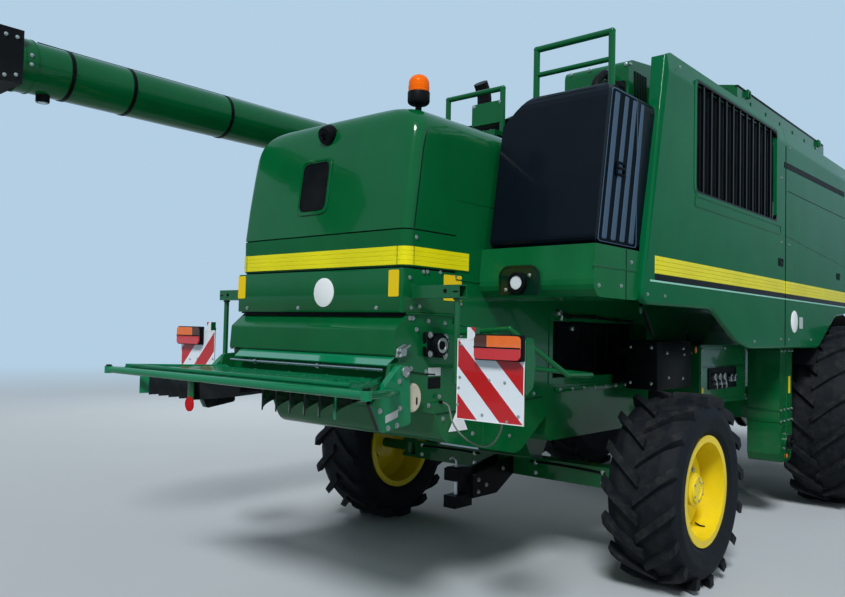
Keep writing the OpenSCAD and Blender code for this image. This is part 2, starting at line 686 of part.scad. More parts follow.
// A cover is a shallow folded lid whose hinge lies on the tank's side wall
module tank_cover(side) color(green) place() mirror([0, side < 0 ? 1 : 0, 0]) {
    hy = tank_half_w;
    z = tank_top_z + seat;
    c = cover_hinge;
    difference() {
        union() {
            slab_x([[hy, z], [hy, z + cover_t], [hy * 0.45, z + cover_rise],
                    [4, z + cover_rise + cover_t], [4, z + cover_rise],
                    [hy * 0.45, z + cover_rise - cover_t], [hy - 60, z]], tank_x + 10, tank_end() - 10);
            for (x = cover_rings) {
                bar([x, c.x, c.y], [x + ring_len, c.x, c.y], hinge_pin_r + 8);
                block([x, hy - 20, z], [x + ring_len, c.x, z + cover_t]);
            }
        }
        for (x = cover_rings) bar([x - 1, c.x, c.y], [x + ring_len + 1, c.x, c.y], hinge_pin_r);
    }
}

// Engine, its air side and the deck

module engine_block() color(steel) place() {
    slab_x(smooth([[-450, body_top_z + 30 + seat, 0], [450, body_top_z + 30 + seat, 0],
                   [420, 3300, 60], [-420, 3300, 60]]), tank_x - 1630, tank_x - 330);
}

module radiator_box() color(black) place() {
    x = tank_x - 680;
    z = 3060;
    y = -shield_y + shield_t;
    h = shield_hinge;
    difference() {
        block([x - 580, y + 60, 2620], [x + 580, -900, 3500]);
        drum_y(x, z, 400, y, y + 120);
    }
    drum_y(x, z, 60, y + 70, y + 130);
    for (k = [-500, 500]) block([x + k, y + 249, body_top_z + 30 + seat], [x + k + 60, -900, 2621]);
    // Bracket for the rear end of the rear shield's hinge
    hinge_seat([[y + 60, 3499], [y + 149, 3499], [h.x + 30, h.y], [h.x, h.y + 22], [h.x - 22, h.y]],
               h, rear_rings[0]);
}

module engine_deck() color(green) place() {
    top = body_top_z + 30;
    w = deck_half_w;
    x = tank_x - 1700;
    yo = fuel_out_y + 100;
    yi = fuel_in_y - 90;
    slab_z([[hood_front_x + seat, -740], [fuel_front_x + 10, -740], [fuel_front_x + 10, -w],
            [tank_x - seat, -w], [tank_x - seat, w], [hood_front_x + seat, w]],
           body_top_z + seat, top);
    // Walkway plate on the left and covers over the air cleaner on the right
    block([hood_front_x + 10, -600, top - 1], [hood_front_x + 40, w - 50, hood_top_z]);
    block([hood_front_x + 10, -600, hood_top_z - 1], [x, w - 50, hood_top_z + 30]);
    for (y = [-560, w - 110]) block([x - 60, y, top - 1], [x - 10, y + 40, hood_top_z]);
    slab_y(smooth([[x - 40, 3190, 0], [x - 40, 3560, 60], [x + 400, 3620, 60], [x + 400, 3190, 0]]),
           -1290, -800);
    block([x, -1200, top - 1], [x + 40, -1160, 3191]);
    block([x + 320, -880, top - 1], [x + 360, -840, 3191]);
    // Rails: one stands on the fuel tank, one at the end of the walkway with a small plate
    r = guard_d / 2;
    foot = fuel_top_z + seat;
    bent([[-1050, yo, foot], [-1050, yo, 3570], [-1050, yi, 3570], [-1050, yi, foot]], r);
    bar([-1050, yo, 3400], [-1050, yi, 3400], r * 0.8);
    bent([[x - 20, -250, hood_top_z], [x - 20, -250, 3560], [x - 20, 280, 3560],
          [x - 20, 280, hood_top_z]], r);
    block([x - 28, -250, 3300], [x - 12, 30, 3470]);
}

module fuel_tank() color(black) place() {
    lean = 158;
    intersection() {
        slab_y(smooth([[fuel_rear_x, fuel_low_z, 50], [fuel_rear_x + lean, fuel_top_z, 120],
                       [fuel_front_x, fuel_top_z, 60], [fuel_front_x, fuel_low_z, 50]]),
               fuel_out_y, fuel_in_y);
        slab_x(smooth([[fuel_out_y, fuel_low_z, 50], [fuel_in_y, fuel_low_z, 40],
                       [fuel_in_y, fuel_top_z - 190, 30], [fuel_in_y - 190, fuel_top_z, 60],
                       [fuel_out_y, fuel_top_z, 90]]), fuel_rear_x - 1, fuel_front_x + 1);
    }
    // Filler cap
    translate([-880, fuel_out_y + 190, fuel_top_z - 1]) cylinder(r = 70, h = 60);
    // Skirt that carries the tank
    slab_y(smooth([[fuel_rear_x - 50, 1925, 90], [fuel_rear_x - 20, fuel_low_z + 1, 0],
                   [fuel_front_x, fuel_low_z + 1, 0], [fuel_front_x, 2120, 0], [-930, 1925, 0]]),
           fuel_out_y - 20, -body_half_w - seat);
    // Flat boss for the work lamp
    translate([fuel_rear_x - 56, -1050, 2010]) rotate([0, 90, 0]) cylinder(r = 46, h = 40);
}

// Side shields

function top_at(x) = shield_top_z + shield_rise * x / 1000;

// Curved sheet that leans in at its top, before it is cut to its outline
module shield_sheet(x0, x1, top) {
    y = shield_y;
    t = shield_t;
    slab_x(smooth([[-y, shield_drop_z - 10, 0], [-y, top - 190, 160], [-y + 75, top + 130, 0],
                   [-y + 75 + t, top + 130, 0], [-y + t, top - 194, 150],
                   [-y + t, shield_drop_z - 10, 0]], 5), x0, x1);
}

// Whole side outline of the rear shield
function rear_outline(top0, x1) = smooth([[-914, shield_low_z, 40], [-535, top0, 90], [x1, top0, 0],
    [x1, shield_drop_z, 0], [1000, shield_drop_z, 140], [700, 1700, 200], [210, shield_low_z, 300]], 6);

// Rings that hang a shield on its hinge pins, joined to the sheet beside them
module shield_rings(places) for (x = places) {
    h = shield_hinge;
    bar([x, h.x, h.y], [x + ring_len, h.x, h.y], hinge_pin_r + 10);
    block([x, h.x - 50, h.y - 12], [x + ring_len, h.x, h.y + 12]);
}

module shield_bores(places) for (x = places) {
    h = shield_hinge;
    bar([x - 1, h.x, h.y], [x + ring_len + 1, h.x, h.y], hinge_pin_r);
}

module right_rear_shield() color(green) place() {
    x1 = seam_x - door_gap / 2;
    gx = grille_x;
    top = top_at(400);
    difference() {
        union() {
            intersection() {
                shield_sheet(-930, x1, top);
                slab_y(rear_outline(top_at(-535), x1), -shield_y - 5, -shield_y + 140);
            }
            shield_rings(rear_rings);
        }
        shield_bores(rear_rings);
        slab_y(rounded([gx, grille_z], [gx + grille_len, top_at(gx) - 120], 60),
               -shield_y - 5, -shield_y + 60);
    }
    // Upright bars of the grille
    for (i = [1 : grille_bars]) {
        x = gx + grille_len * i / (grille_bars + 1);
        block([x - grille_bar_w / 2, -shield_y + 3, grille_z - 10],
              [x + grille_bar_w / 2, -shield_y + shield_t - 3, top_at(gx) - 110]);
    }
}

module right_front_shield() color(green) place() {
    x0 = seam_x + door_gap / 2;
    x1 = shield_front_x;
    wx = wheelbase;
    difference() {
        union() {
            intersection() {
                shield_sheet(x0, x1, top_at(400));
                slab_y(smooth([[x0, shield_drop_z, 0], [x0, top_at(-535), 0], [x1, top_at(-535), 100],
                               [x1, 2080, 60], [wx + 150, 1985, 200], [wx - 240, 1960, 260],
                               [wx - 880, shield_drop_z, 120]], 6), -shield_y - 5, -shield_y + 140);
            }
            shield_rings(front_rings);
        }
        shield_bores(front_rings);
    }
}

// Left shields stop lower, under the folded auger, with an inset upper wall
module left_shields() color(green) place() {
    low = 3130;
    y = shield_y;
    t = shield_t;
    x1 = left_front_x;
    difference() {
        slab_y(smooth([[-914, shield_low_z, 40], [-640, low, 60], [x1, low, 0],
                       [x1, shield_drop_z, 0], [1000, shield_drop_z, 140], [700, 1700, 200],
                       [210, shield_low_z, 300]], 6), y - t, y);
        block([seam_x - 3, y - 8, shield_drop_z - 1], [seam_x + 3, y + 1, low + 1]);
    }
    w = tank_half_w + 30;
    block([-640, w, low - t], [x1, y - 1, low]);
    block([-600, w, low - 1], [x1, w + t, 3540]);
    // Pad that the folded auger rests on
    block([-480, w + 70, low - 1], [-400, y - 1, auger_z - auger_r - seat]);
}

// Unloading auger

module auger_turret() color(green) place() {
    translate([auger_pivot_x, auger_y, post_foot_z]) cylinder(r = 160, h = post_z - post_foot_z);
    translate([auger_pivot_x, auger_y, post_z - 60]) cylinder(r = 176, h = 60);
    // Cross tube from beside the tank's bottom to the post
    bar([auger_pivot_x, 500 + (tank_half_w - 500) * 0.605, post_foot_z + 115],
        [auger_pivot_x, auger_y, post_foot_z + 115], 105);
}

module auger_tube() color(green) place() {
    py = auger_y;
    low = post_z + seat;
    difference() {
        union() {
            translate([auger_pivot_x, py, low]) cylinder(r = 176, h = 50);
            translate([auger_pivot_x, py, low]) cylinder(r = auger_r - 8, h = auger_z - low);
            translate([auger_pivot_x, py, auger_z]) sphere(r = auger_r + 12);
            bar([auger_pivot_x, py, auger_z], [auger_end_x, auger_y, auger_z], auger_r);
            bar([auger_end_x + 90, auger_y, auger_z], [auger_end_x, auger_y, auger_z], auger_r + 7);
        }
        bar([auger_end_x + 900, auger_y, auger_z], [auger_end_x - 1, auger_y, auger_z],
            auger_r - tube_t);
    }
}

// Side outline of the spout, drawn in by a wall
function spout_side(inset) = let (x1 = auger_end_x - seat, x0 = rear_x, r = auger_r + 4,
                                  low = inset > 0 ? 5 : 0)
    smooth([[x1, auger_z + r - inset, 0], [x1, auger_z - r + inset, 0],
        [x1 - 120, auger_z - r + inset, 60], [x0 + 110 + inset, auger_z - r - 210 - low, 0],
        [x0 + inset, auger_z - 60 - low, 0], [x0 + 170, auger_z + r - inset, 120]], 5);

// Flared rubber spout, bent down at its end
module auger_spout() color(black) place() {
    x1 = auger_end_x - seat;
    x0 = rear_x;
    r = auger_r + 4;
    difference() {
        slab_y(spout_side(0), auger_y - r, auger_y + r);
        slab_y(spout_side(14), auger_y - r + 14, auger_y + r - 14);
        translate([0, auger_y, auger_z]) rotate([0, 90, 0]) translate([0, 0, x1 - 40])
            cylinder(r = auger_r - tube_t, h = 60);
        slab_y([[x0 - 1, auger_z - 80], [x0 + 109, auger_z - r - 230], [x0 + 60, auger_z - r - 260],
                [x0 - 1, auger_z - r - 260]], auger_y - r + 14, auger_y + r - 14);
    }
}

// Side pieces

module grain_elevator() color(green) place() {
    x = wheelbase - 1560;
    y = -shield_y + 155;
    slab_y(smooth([[x, 640, 0], [x + 40, 560, 40], [x + 330, 560, 40], [x + 370, 640, 0],
                   [x + 370, 2350, 0], [x, 2350, 0]]), y, y + 290);
    block([x + 20, y + 289, 2250], [x + 350, -body_half_w - seat, 2350]);
    drum_y(x + 185, 745, 60, y - 28, y);
    block([x + 20, y + 289, 960], [x + 350, -shoe_half_w - seat, 1120]);
}

module valve_box() color(green) place() {
    slab_y(smooth([[1050, 1150, 40], [1050, 1640, 40], [2150, 1640, 40], [2150, 1130, 40]]),
           420 - shield_y, -body_half_w - seat);
}

module warning_boards() color(steel) place() for (side = [-1, 1]) mirror([0, side < 0 ? 1 : 0, 0]) {
    h = board_s / 2;
    block([-2104, board_y - h, board_z], [-2100, board_y + h, board_z + board_s]);
    block([-2101, board_y - h + 60, board_z + 150], [-2060, board_y - h + 110, board_z + board_s + 60]);
    // Square tube stub out of the hood's panel and the round tube that hangs from it
    difference() {
        block([-2085, body_half_w + seat, 1895], [-2015, 1085, 1965]);
        block([-2079, body_half_w + 60, 1901], [-2021, 1086, 1959]);
    }
    bent([[-2050, board_y - h - 50, 1896], [-2050, board_y - h - 50, board_z + 180],
          [-2050, board_y - h + 90, board_z + 180]], guard_d / 2 - 4);
}

module lamps() color("orange") place() {
    for (side = [-1, 1]) mirror([0, side < 0 ? 1 : 0, 0]) {
        // Tail lamp on a board
        slab_x(rounded([board_y - 70, board_z + board_s - 100], [board_y + 210, board_z + board_s + 20], 20),
               -2150, -2104 - seat);
    }
    // Work lamp in the tank's skirt
    translate([fuel_rear_x - 56 - seat - 24, -1050, 2010]) rotate([0, 90, 0]) cylinder(r = 38, h = 24);
    // Camera at the top of the hood's door
    block([hood_rear_x + 40, -22, 2900], [hood_rear_x + 84, 22, 2950]);
    // Work lamps along the front of the cab roof
    z = cab_wall_z + 70;
    for (y = [-700, -330, 330, 700]) slab_x(rounded([y - 75, z], [y + 75, z + 100], 20),
        cab_front() + 60 + seat, cab_front() + 100);
    // Beacons on the hood and on the cab roof
    for (spot = [[-1930, -630, hood_top_z], [cab_x + 340, -700, cab_wall_z + roof_t]])
        translate(spot + [0, 0, seat]) {
            cylinder(r = 50, h = 34);
            translate([0, 0, 33]) cylinder(r1 = 46, r2 = 42, h = 42);
            translate([0, 0, 74]) sphere(r = 42);
        }
}

// Mirror on an arm beside the cab roof, one on each side
module mirrors() color(black) place() for (side = [-1, 1]) mirror([0, side < 0 ? 1 : 0, 0]) {
    x = cab_front() + 30;
    y = cab_half_w + 60 + seat;
    z = cab_wall_z + 90;
    block([x - 190, y, z - 40], [x - 115, y + 12, z + 40]);
    bent([[x - 150, y + 11, z], [x + 20, y + 250, z], [x + 20, y + 250, z - 720]], 15);
    slab_x(rounded([y + 130, z - 760], [y + 370, z - 200], 50), x - 50, x + 6);
}

// Cab

function cab_front() = cab_x + cab_len;

// Side outline of the cab, drawn in by a wall
function cab_side(inset) = let (x1 = cab_front()) smooth([
    [cab_x + inset, cab_floor_z + inset, 0], [x1 - 260 - inset * 0.7, cab_floor_z + inset, 110],
    [x1 - inset, 2500, 190], [x1 - 60 - inset, cab_wall_z + (inset > 0 ? 0 : 1), 0],
    [cab_x + inset, cab_wall_z + (inset > 0 ? 0 : 1), 0]]);

// Window blocks: front, right side and rear, made smaller all round by a gap
module cab_windows(gap) {
    x0 = cab_x;
    x1 = cab_front();
    w = cab_half_w;
    t = cab_t;
    top = cab_wall_z - 70 - gap;
    block([x1 - 420, -w + 90 + gap, cab_floor_z + 200 + gap], [x1 + 10, w - 90 - gap, top]);
    block([x0 + 130 + gap, -w - 1, 2420 + gap], [x1 - 230 - gap, -w + t + 1, top]);
    block([x0 - 1, -w + 130 + gap, 2900 + gap], [x0 + t + 1, w - 130 - gap, top]);
}

module cab_shell() color(green) place() {
    x0 = cab_x;
    x1 = cab_front();
    w = cab_half_w;
    t = cab_t;
    difference() {
        slab_y(cab_side(0), -w, w);
        slab_y(cab_side(t), -w + t, w - t);
        cab_windows(0);
        // Doorway on the left
        block([door_x - door_gap, w - t - 1, cab_floor_z + 70 - door_gap],
              [door_x + door_len + door_gap, w + 1, cab_wall_z - 70]);
    }
    // Roof with rounded edges
    slab_z(rounded([x0 - 20, -w - 60], [x1 + 60, w + 60], 140, 6), cab_wall_z, cab_wall_z + roof_t);
    // Pins of the door's hinges
    for (z = hinge_levels) {
        translate([door_pin.x, door_pin.y, z - 50]) cylinder(r = door_pin_r - fit, h = 100);
        for (k = [-44, 30]) block([door_pin.x - 60, w - 1, z + k],
                                  [door_pin.x + 4, door_pin.y + 4, z + k + 14]);
    }
    // Feet down to the front of the threshing body
    for (y = [-620, 540]) block([x0 + 30, y, 1700], [x0 + 150, y + 80, cab_floor_z + 1]);
    for (y = [-620, 540]) block([body_nose.x + seat, y, 1700], [x0 + 31, y + 80, 1800]);
}

module cab_glass() color("#20303A") place() intersection() {
    difference() {
        slab_y(cab_side(26), -cab_half_w + 26, cab_half_w - 26);
        slab_y(cab_side(34), -cab_half_w + 34, cab_half_w - 34);
    }
    cab_windows(seat);
}

module cab_interior() color(black) place() {
    z = cab_floor_z + cab_t + seat;
    x = cab_x + 860;
    slab_y(smooth([[x - 340, z, 0], [x - 340, z + 330, 30], [x - 400, z + 460, 30],
                   [x - 480, z + 1150, 40], [x - 370, z + 1160, 40], [x - 240, z + 500, 40],
                   [x + 160, z + 500, 50], [x + 160, z + 400, 30], [x, z + 330, 0], [x, z, 0]]),
           -260, 260);
    bar([x + 320, 0, z + 12], [x + 172, 0, z + 746], 45);
    translate([x + 320, 0, z]) cylinder(r = 60, h = 30);
    translate([x + 172, 0, z + 740]) rotate([0, -11, 0]) difference() {
        cylinder(r = 200, h = 30);
        translate([0, 0, 12]) cylinder(r = 172, h = 40);
    }
}

module cab_door() color(green) place() {
    difference() {
        block([door_x, cab_half_w - cab_t, cab_floor_z + 70],
              [door_x + door_len, cab_half_w - 6, cab_wall_z - 70 - door_gap]);
        block([door_x + 70, cab_half_w - cab_t - 1, 2420], [door_x + door_len - 70, cab_half_w, 3480]);
    }
    for (z = hinge_levels) difference() {
        union() {
            translate([door_pin.x, door_pin.y, z - 29]) cylinder(r = door_pin_r + 8, h = 58);
            block([door_pin.x, cab_half_w - 7, z - 29], [door_x + 120, door_pin.y, z + 29]);
        }
        translate([door_pin.x, door_pin.y, z - 60]) cylinder(r = door_pin_r, h = 120);
    }
}

module cab_platform() color(steel) place() {
    x0 = cab_x + 460;
    x1 = cab_x + 1460;
    y1 = 1780;
    r = 18;
    block([x0, cab_half_w + seat, platform_z - 40], [x1, y1, platform_z]);
    // Beams under the cab floor that carry the platform
    for (x = [x0 + 100, x0 + 600]) {
        block([x, 760, platform_z - 80], [x + 80, y1 - 60, platform_z - 39]);
        block([x, 760, platform_z - 80], [x + 80, cab_half_w - 20, cab_floor_z - seat]);
    }
    // Ladder at the platform's front end
    for (y = [1180, 1700]) slab_y([[x1 - 260, 420], [x1 - 200, 420], [x1 - 60, platform_z - 20],
        [x1 - 120, platform_z - 20]], y, y + 24);
    for (i = [0 : 4]) block([x1 - 270 + i * 32, 1204, 440 + i * 340],
                            [x1 - 90 + i * 32, 1701, 466 + i * 340]);
    // Handrails
    bent([[x1 - 40, 1000, platform_z - 1], [x1 - 40, 1000, 2950], [x1 - 40, 1160, 2950],
          [x1 - 40, 1160, platform_z - 1]], r);
    bent([[x1 - 40, 1740, platform_z - 1], [x1 - 40, 1740, 2950], [x1 - 260, 1740, 2950],
          [x1 - 260, 1740, platform_z - 1]], r);
}

// Feeder house

// Side outline of the feeder house, drawn in by a wall
function feeder_side(inset) = let (fx = feeder_front_x, low = feeder_low_z, out = inset > 0 ? 1 : 0,
                                   hi = feeder_low_z + feeder_mouth_h)
    [[fx + out, low + inset], [fx + out, hi - inset],
        [feeder_x - 120 - out, feeder_z + 130 - inset],
        [feeder_x - 120 - out, feeder_z - 250 + inset], [feeder_x + 430, 1120 + inset]];

module feeder_house() color(green) place() {
    w = feeder_half_w;
    fx = feeder_front_x;
    low = feeder_low_z;
    hi = low + feeder_mouth_h;
    difference() {
        slab_y(feeder_side(0), -w, w);
        slab_y(feeder_side(wall), -w + wall, w - wall);
        drum_y(hinge_x, hinge_z, hinge_r + 1, -w - 1, w + 1);
    }
    // Face frame that a header hooks on to
    difference() {
        block([fx - 70, -w - 60, low], [fx, w + 60, hi]);
        block([fx - 71, -w + wall, low + wall], [fx + 1, w - wall, hi - wall]);
    }
    // Hinge tube
    difference() {
        drum_y(hinge_x, hinge_z, hinge_r + 22, -w - 20, w + 20);
        drum_y(hinge_x, hinge_z, hinge_r, -w - 21, w + 21);
    }
    // Ears for the lift cylinders
    for (side = [-1, 1], k = [-1, 1]) difference() {
        slab_y(smooth([[lift_eye.x - 120, 1010, 0], [lift_eye.x + 120, 930, 0],
                       [lift_eye.x + 50, lift_eye.y - 50, 30], [lift_eye.x - 50, lift_eye.y - 50, 30]]),
               side * lift_y + k * 60 - 10, side * lift_y + k * 60 + 10);
        drum_y(lift_eye.x, lift_eye.y, lift_pin_r, side * lift_y - 90, side * lift_y + 90);
    }
}

// Lift cylinder line from its foot on the axle to its eye under the feeder house
lift_angle = atan2(lift_eye.y - lift_foot.y, lift_eye.x - lift_foot.x);
lift_len = norm(lift_eye - lift_foot);
barrel_end = lift_len * 0.66;

// Children lie along X from the foot
module along_lift() for (side = [-1, 1])
    translate([lift_foot.x, side * lift_y, lift_foot.y]) rotate([0, -lift_angle, 0]) children();

module lift_barrels() color(black) place() along_lift() difference() {
    union() {
        translate([barrel_x, 0, 0]) rotate([0, 90, 0])
            cylinder(r = lift_bore_r + 12, h = barrel_end - barrel_x);
        rotate([0, 90, 0]) cylinder(r = 26, h = barrel_x + 1);
        drum_y(0, 0, lift_pin_r + 26, -30, 30);
    }
    translate([barrel_x + 40, 0, 0]) rotate([0, 90, 0])
        cylinder(r = lift_bore_r, h = barrel_end - barrel_x - 90);
    translate([barrel_end - 60, 0, 0]) rotate([0, 90, 0]) cylinder(r = lift_rod_r + fit, h = 70);
    drum_y(0, 0, lift_pin_r, -31, 31);
}

module lift_rods() color(steel) place() along_lift() {
    translate([310, 0, 0]) rotate([0, 90, 0]) cylinder(r = lift_rod_r, h = lift_len - 350);
    difference() {
        drum_y(lift_len, 0, 44, -25, 25);
        drum_y(lift_len, 0, lift_pin_r, -26, 26);
    }
}

threshing_body();
cleaning_shoe();
straw_hood();
chopper_housing();
grain_tank();
tank_cover(1);  // tank_cover_left
tank_cover(-1);  // tank_cover_right
engine_block();
radiator_box();
engine_deck();
fuel_tank();
left_shields();
right_rear_shield();
right_front_shield();
front_axle();
rear_axle();
tow_hitch();
knuckle(1);  // knuckle_left
knuckle(-1);  // knuckle_right
tie_rod();
front_tyre(1);  // front_tyre_left
front_tyre(-1);  // front_tyre_right
front_rim(1);  // front_rim_left
front_rim(-1);  // front_rim_right
rear_tyre(1);  // rear_tyre_left
rear_tyre(-1);  // rear_tyre_right
rear_rim(1);  // rear_rim_left
rear_rim(-1);  // rear_rim_right
grain_elevator();
valve_box();
warning_boards();
lamps();
mirrors();
tailboard();
auger_turret();
auger_tube();
auger_spout();
cab_shell();
cab_glass();
cab_interior();
cab_door();
cab_platform();
feeder_house();
lift_barrels();
lift_rods();
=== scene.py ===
import math

import bmesh
import bpy
from mathutils import Matrix, Vector


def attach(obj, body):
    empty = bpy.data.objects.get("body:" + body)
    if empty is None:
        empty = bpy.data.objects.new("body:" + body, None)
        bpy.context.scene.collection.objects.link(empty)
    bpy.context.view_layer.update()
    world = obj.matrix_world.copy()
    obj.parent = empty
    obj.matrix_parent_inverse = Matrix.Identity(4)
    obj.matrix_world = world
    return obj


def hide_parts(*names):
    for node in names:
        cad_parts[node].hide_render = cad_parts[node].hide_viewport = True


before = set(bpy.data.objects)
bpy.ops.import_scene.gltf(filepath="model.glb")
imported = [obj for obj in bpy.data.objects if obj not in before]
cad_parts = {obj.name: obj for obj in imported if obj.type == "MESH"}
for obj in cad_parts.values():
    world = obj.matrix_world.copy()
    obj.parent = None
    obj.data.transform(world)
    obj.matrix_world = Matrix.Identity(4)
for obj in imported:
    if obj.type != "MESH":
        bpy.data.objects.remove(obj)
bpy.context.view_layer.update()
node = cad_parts

# Stations are in millimetres from the rear axle: X forward, Y to the machine's left, Z up.


def at(x, y, z):
    """Place in metres of a station."""
    return Vector(((x - 1150) / 1000, y / 1000, z / 1000))


# Camera at the photograph's view

camera = bpy.data.objects.new("camera", bpy.data.cameras.new("camera"))
bpy.context.scene.collection.objects.link(camera)
camera.data.lens = 33.5
camera.data.sensor_width = 36
camera.data.clip_start = 0.05
camera.data.clip_end = 200
camera.matrix_world = Matrix((
    (0.6543, -0.0431, -0.7550, -6.523),
    (-0.7559, -0.0080, -0.6546, -3.680),
    (0.0222, 0.9990, -0.0379, 1.727),
    (0, 0, 0, 1)))
bpy.context.scene.camera = camera

# Finishes


def linear(code, alpha=1.0):
    """Linear colour of an sRGB hex code."""
    values = [int(code[i:i + 2], 16) / 255 for i in (1, 3, 5)]
    return (*[v / 12.92 if v <= 0.04045 else ((v + 0.055) / 1.055) ** 2.4 for v in values], alpha)


def add(tree, kind, settings=None, links=None):
    """Adds a node with its settings and the sockets that feed it."""
    made = tree.nodes.new("ShaderNode" + kind)
    for name, value in (settings or {}).items():
        if isinstance(name, str) and hasattr(made, name):
            setattr(made, name, value)
        else:
            made.inputs[name].default_value = value
    for name, source in (links or {}).items():
        tree.links.new(source, made.inputs[name])
    return made


def start_finish(name, settings):
    """New material with its shader's own values and the coordinates of its object."""
    made = bpy.data.materials.new(name)
    made.use_nodes = True
    tree = made.node_tree
    shader = tree.nodes["Principled BSDF"]
    for key, value in settings.items():
        shader.inputs[key].default_value = value
    place = add(tree, "TexCoord").outputs["Object"]
    axes = add(tree, "SeparateXYZ", links={"Vector": place}).outputs
    return made, tree, shader, place, axes


def between(tree, value, low, high):
    """1 where a coordinate in metres lies between two values."""
    over = add(tree, "Math", {"operation": "GREATER_THAN", 1: low}, {0: value}).outputs[0]
    under = add(tree, "Math", {"operation": "LESS_THAN", 1: high}, {0: value}).outputs[0]
    return add(tree, "Math", {"operation": "MULTIPLY"}, {0: over, 1: under}).outputs[0]


def both(tree, a, b):
    """Product of two masks."""
    return add(tree, "Math", {"operation": "MULTIPLY"}, {0: a, 1: b}).outputs[0]


def tinted(tree, mask, base, code):
    """A colour laid over another one by a mask."""
    mix = add(tree, "Mix", {"data_type": "RGBA", 7: linear(code)}, {0: mask, 6: base})
    return mix.outputs[2]


def enamel(name, code, zones=(), dust=0.1, gloss=0.16, waves=0.0015, coat=0.28, specular=0.12):
    """Sprayed machine enamel: clear gloss over sheet that waves a little, dust that gathers low down.

    Each zone is a colour and a function that makes its mask from X, Y and Z.
    """
    made, tree, shader, place, axes = start_finish(name, {
        "Metallic": 0.0, "IOR": 1.5, "Specular IOR Level": specular, "Coat Weight": coat, "Coat Roughness": 0.04})
    # Patches of about 400 mm where the paint has faded a shade
    patch = add(tree, "TexNoise", {"Scale": 2.5, "Detail": 3.0}, {"Vector": place}).outputs["Fac"]
    shade = add(tree, "MapRange", {"From Min": 0.35, "From Max": 0.65, "To Min": 0.0, "To Max": 0.5},
                {"Value": patch}).outputs[0]
    pale = tuple(min(1.0, c * 1.25) for c in linear(code)[:3]) + (1.0,)
    colour = add(tree, "Mix", {"data_type": "RGBA", 6: linear(code), 7: pale}, {0: shade}).outputs[2]
    for tint, mask in zones:
        colour = tinted(tree, mask(tree, axes), colour, tint)
    # Dust: fine grains of 12 mm, drawn coarse, thick below 1.3 m and gone by 2 m
    grain = add(tree, "TexNoise", {"Scale": 9.0, "Detail": 8.0, "Roughness": 0.7}, {"Vector": place}).outputs["Fac"]
    height = add(tree, "MapRange", {"From Min": 0.5, "From Max": 2.0, "To Min": dust, "To Max": 0.05 * dust},
                 {"Value": axes[2]}).outputs[0]
    lies = add(tree, "MapRange", {"From Min": 0.42, "From Max": 0.75}, {"Value": grain}).outputs[0]
    film = add(tree, "Math", {"operation": "MULTIPLY"}, {0: lies, 1: height}).outputs[0]
    colour = add(tree, "Mix", {"data_type": "RGBA", 7: linear("#7A745F")}, {0: film, 6: colour}).outputs[2]
    tree.links.new(colour, shader.inputs["Base Color"])
    rough = add(tree, "Math", {"operation": "MULTIPLY_ADD", 1: 0.6, 2: gloss}, {0: film}).outputs[0]
    tree.links.new(rough, shader.inputs["Roughness"])
    wave = add(tree, "TexNoise", {"Scale": 1.6, "Detail": 1.0}, {"Vector": place}).outputs["Fac"]
    bump = add(tree, "Bump", {"Strength": 0.5, "Distance": waves * 8}, {"Height": wave})
    tree.links.new(bump.outputs[0], shader.inputs["Normal"])
    return made


def moulded(name, code, rough=0.45, grain=260.0, dust=0.05, zones=()):
    """Moulded black polymer: satin, with a fine pebble from the mould and a little dust."""
    made, tree, shader, place, axes = start_finish(name, {"IOR": 1.5, "Metallic": 0.0, "Specular IOR Level": 0.06})
    pebble = add(tree, "TexNoise", {"Scale": grain, "Detail": 2.0}, {"Vector": place}).outputs["Fac"]
    bump = add(tree, "Bump", {"Strength": 0.25, "Distance": 0.001}, {"Height": pebble})
    tree.links.new(bump.outputs[0], shader.inputs["Normal"])
    cloud = add(tree, "TexNoise", {"Scale": 5.0, "Detail": 6.0}, {"Vector": place}).outputs["Fac"]
    film = add(tree, "MapRange", {"From Min": 0.45, "From Max": 0.8, "To Max": dust}, {"Value": cloud}).outputs[0]
    base = add(tree, "Mix", {"data_type": "RGBA", 6: linear(code), 7: linear("#6E6C63")}, {0: film}).outputs[2]
    for tint, mask in zones:
        base = tinted(tree, mask(tree, axes), base, tint)
    tree.links.new(base, shader.inputs["Base Color"])
    level = add(tree, "Math", {"operation": "MULTIPLY_ADD", 1: 0.5, 2: rough}, {0: film}).outputs[0]
    tree.links.new(level, shader.inputs["Roughness"])
    return made


def metal(name, code, rough=0.3, fine=90.0):
    """Bare or plated steel: bright, with small scuffs that break its reflection."""
    made, tree, shader, place, _ = start_finish(name, {"Metallic": 1.0})
    scuff = add(tree, "TexNoise", {"Scale": fine, "Detail": 5.0, "Roughness": 0.7}, {"Vector": place}).outputs["Fac"]
    level = add(tree, "MapRange", {"To Min": rough * 0.7, "To Max": rough * 1.5}, {"Value": scuff}).outputs[0]
    tree.links.new(level, shader.inputs["Roughness"])
    tone = add(tree, "Mix", {"data_type": "RGBA", 6: linear(code), 7: linear("#5C5F60")}, {
        0: add(tree, "MapRange", {"From Min": 0.5, "From Max": 0.9, "To Max": 0.5}, {"Value": scuff}).outputs[0]})
    tree.links.new(tone.outputs[2], shader.inputs["Base Color"])
    return made


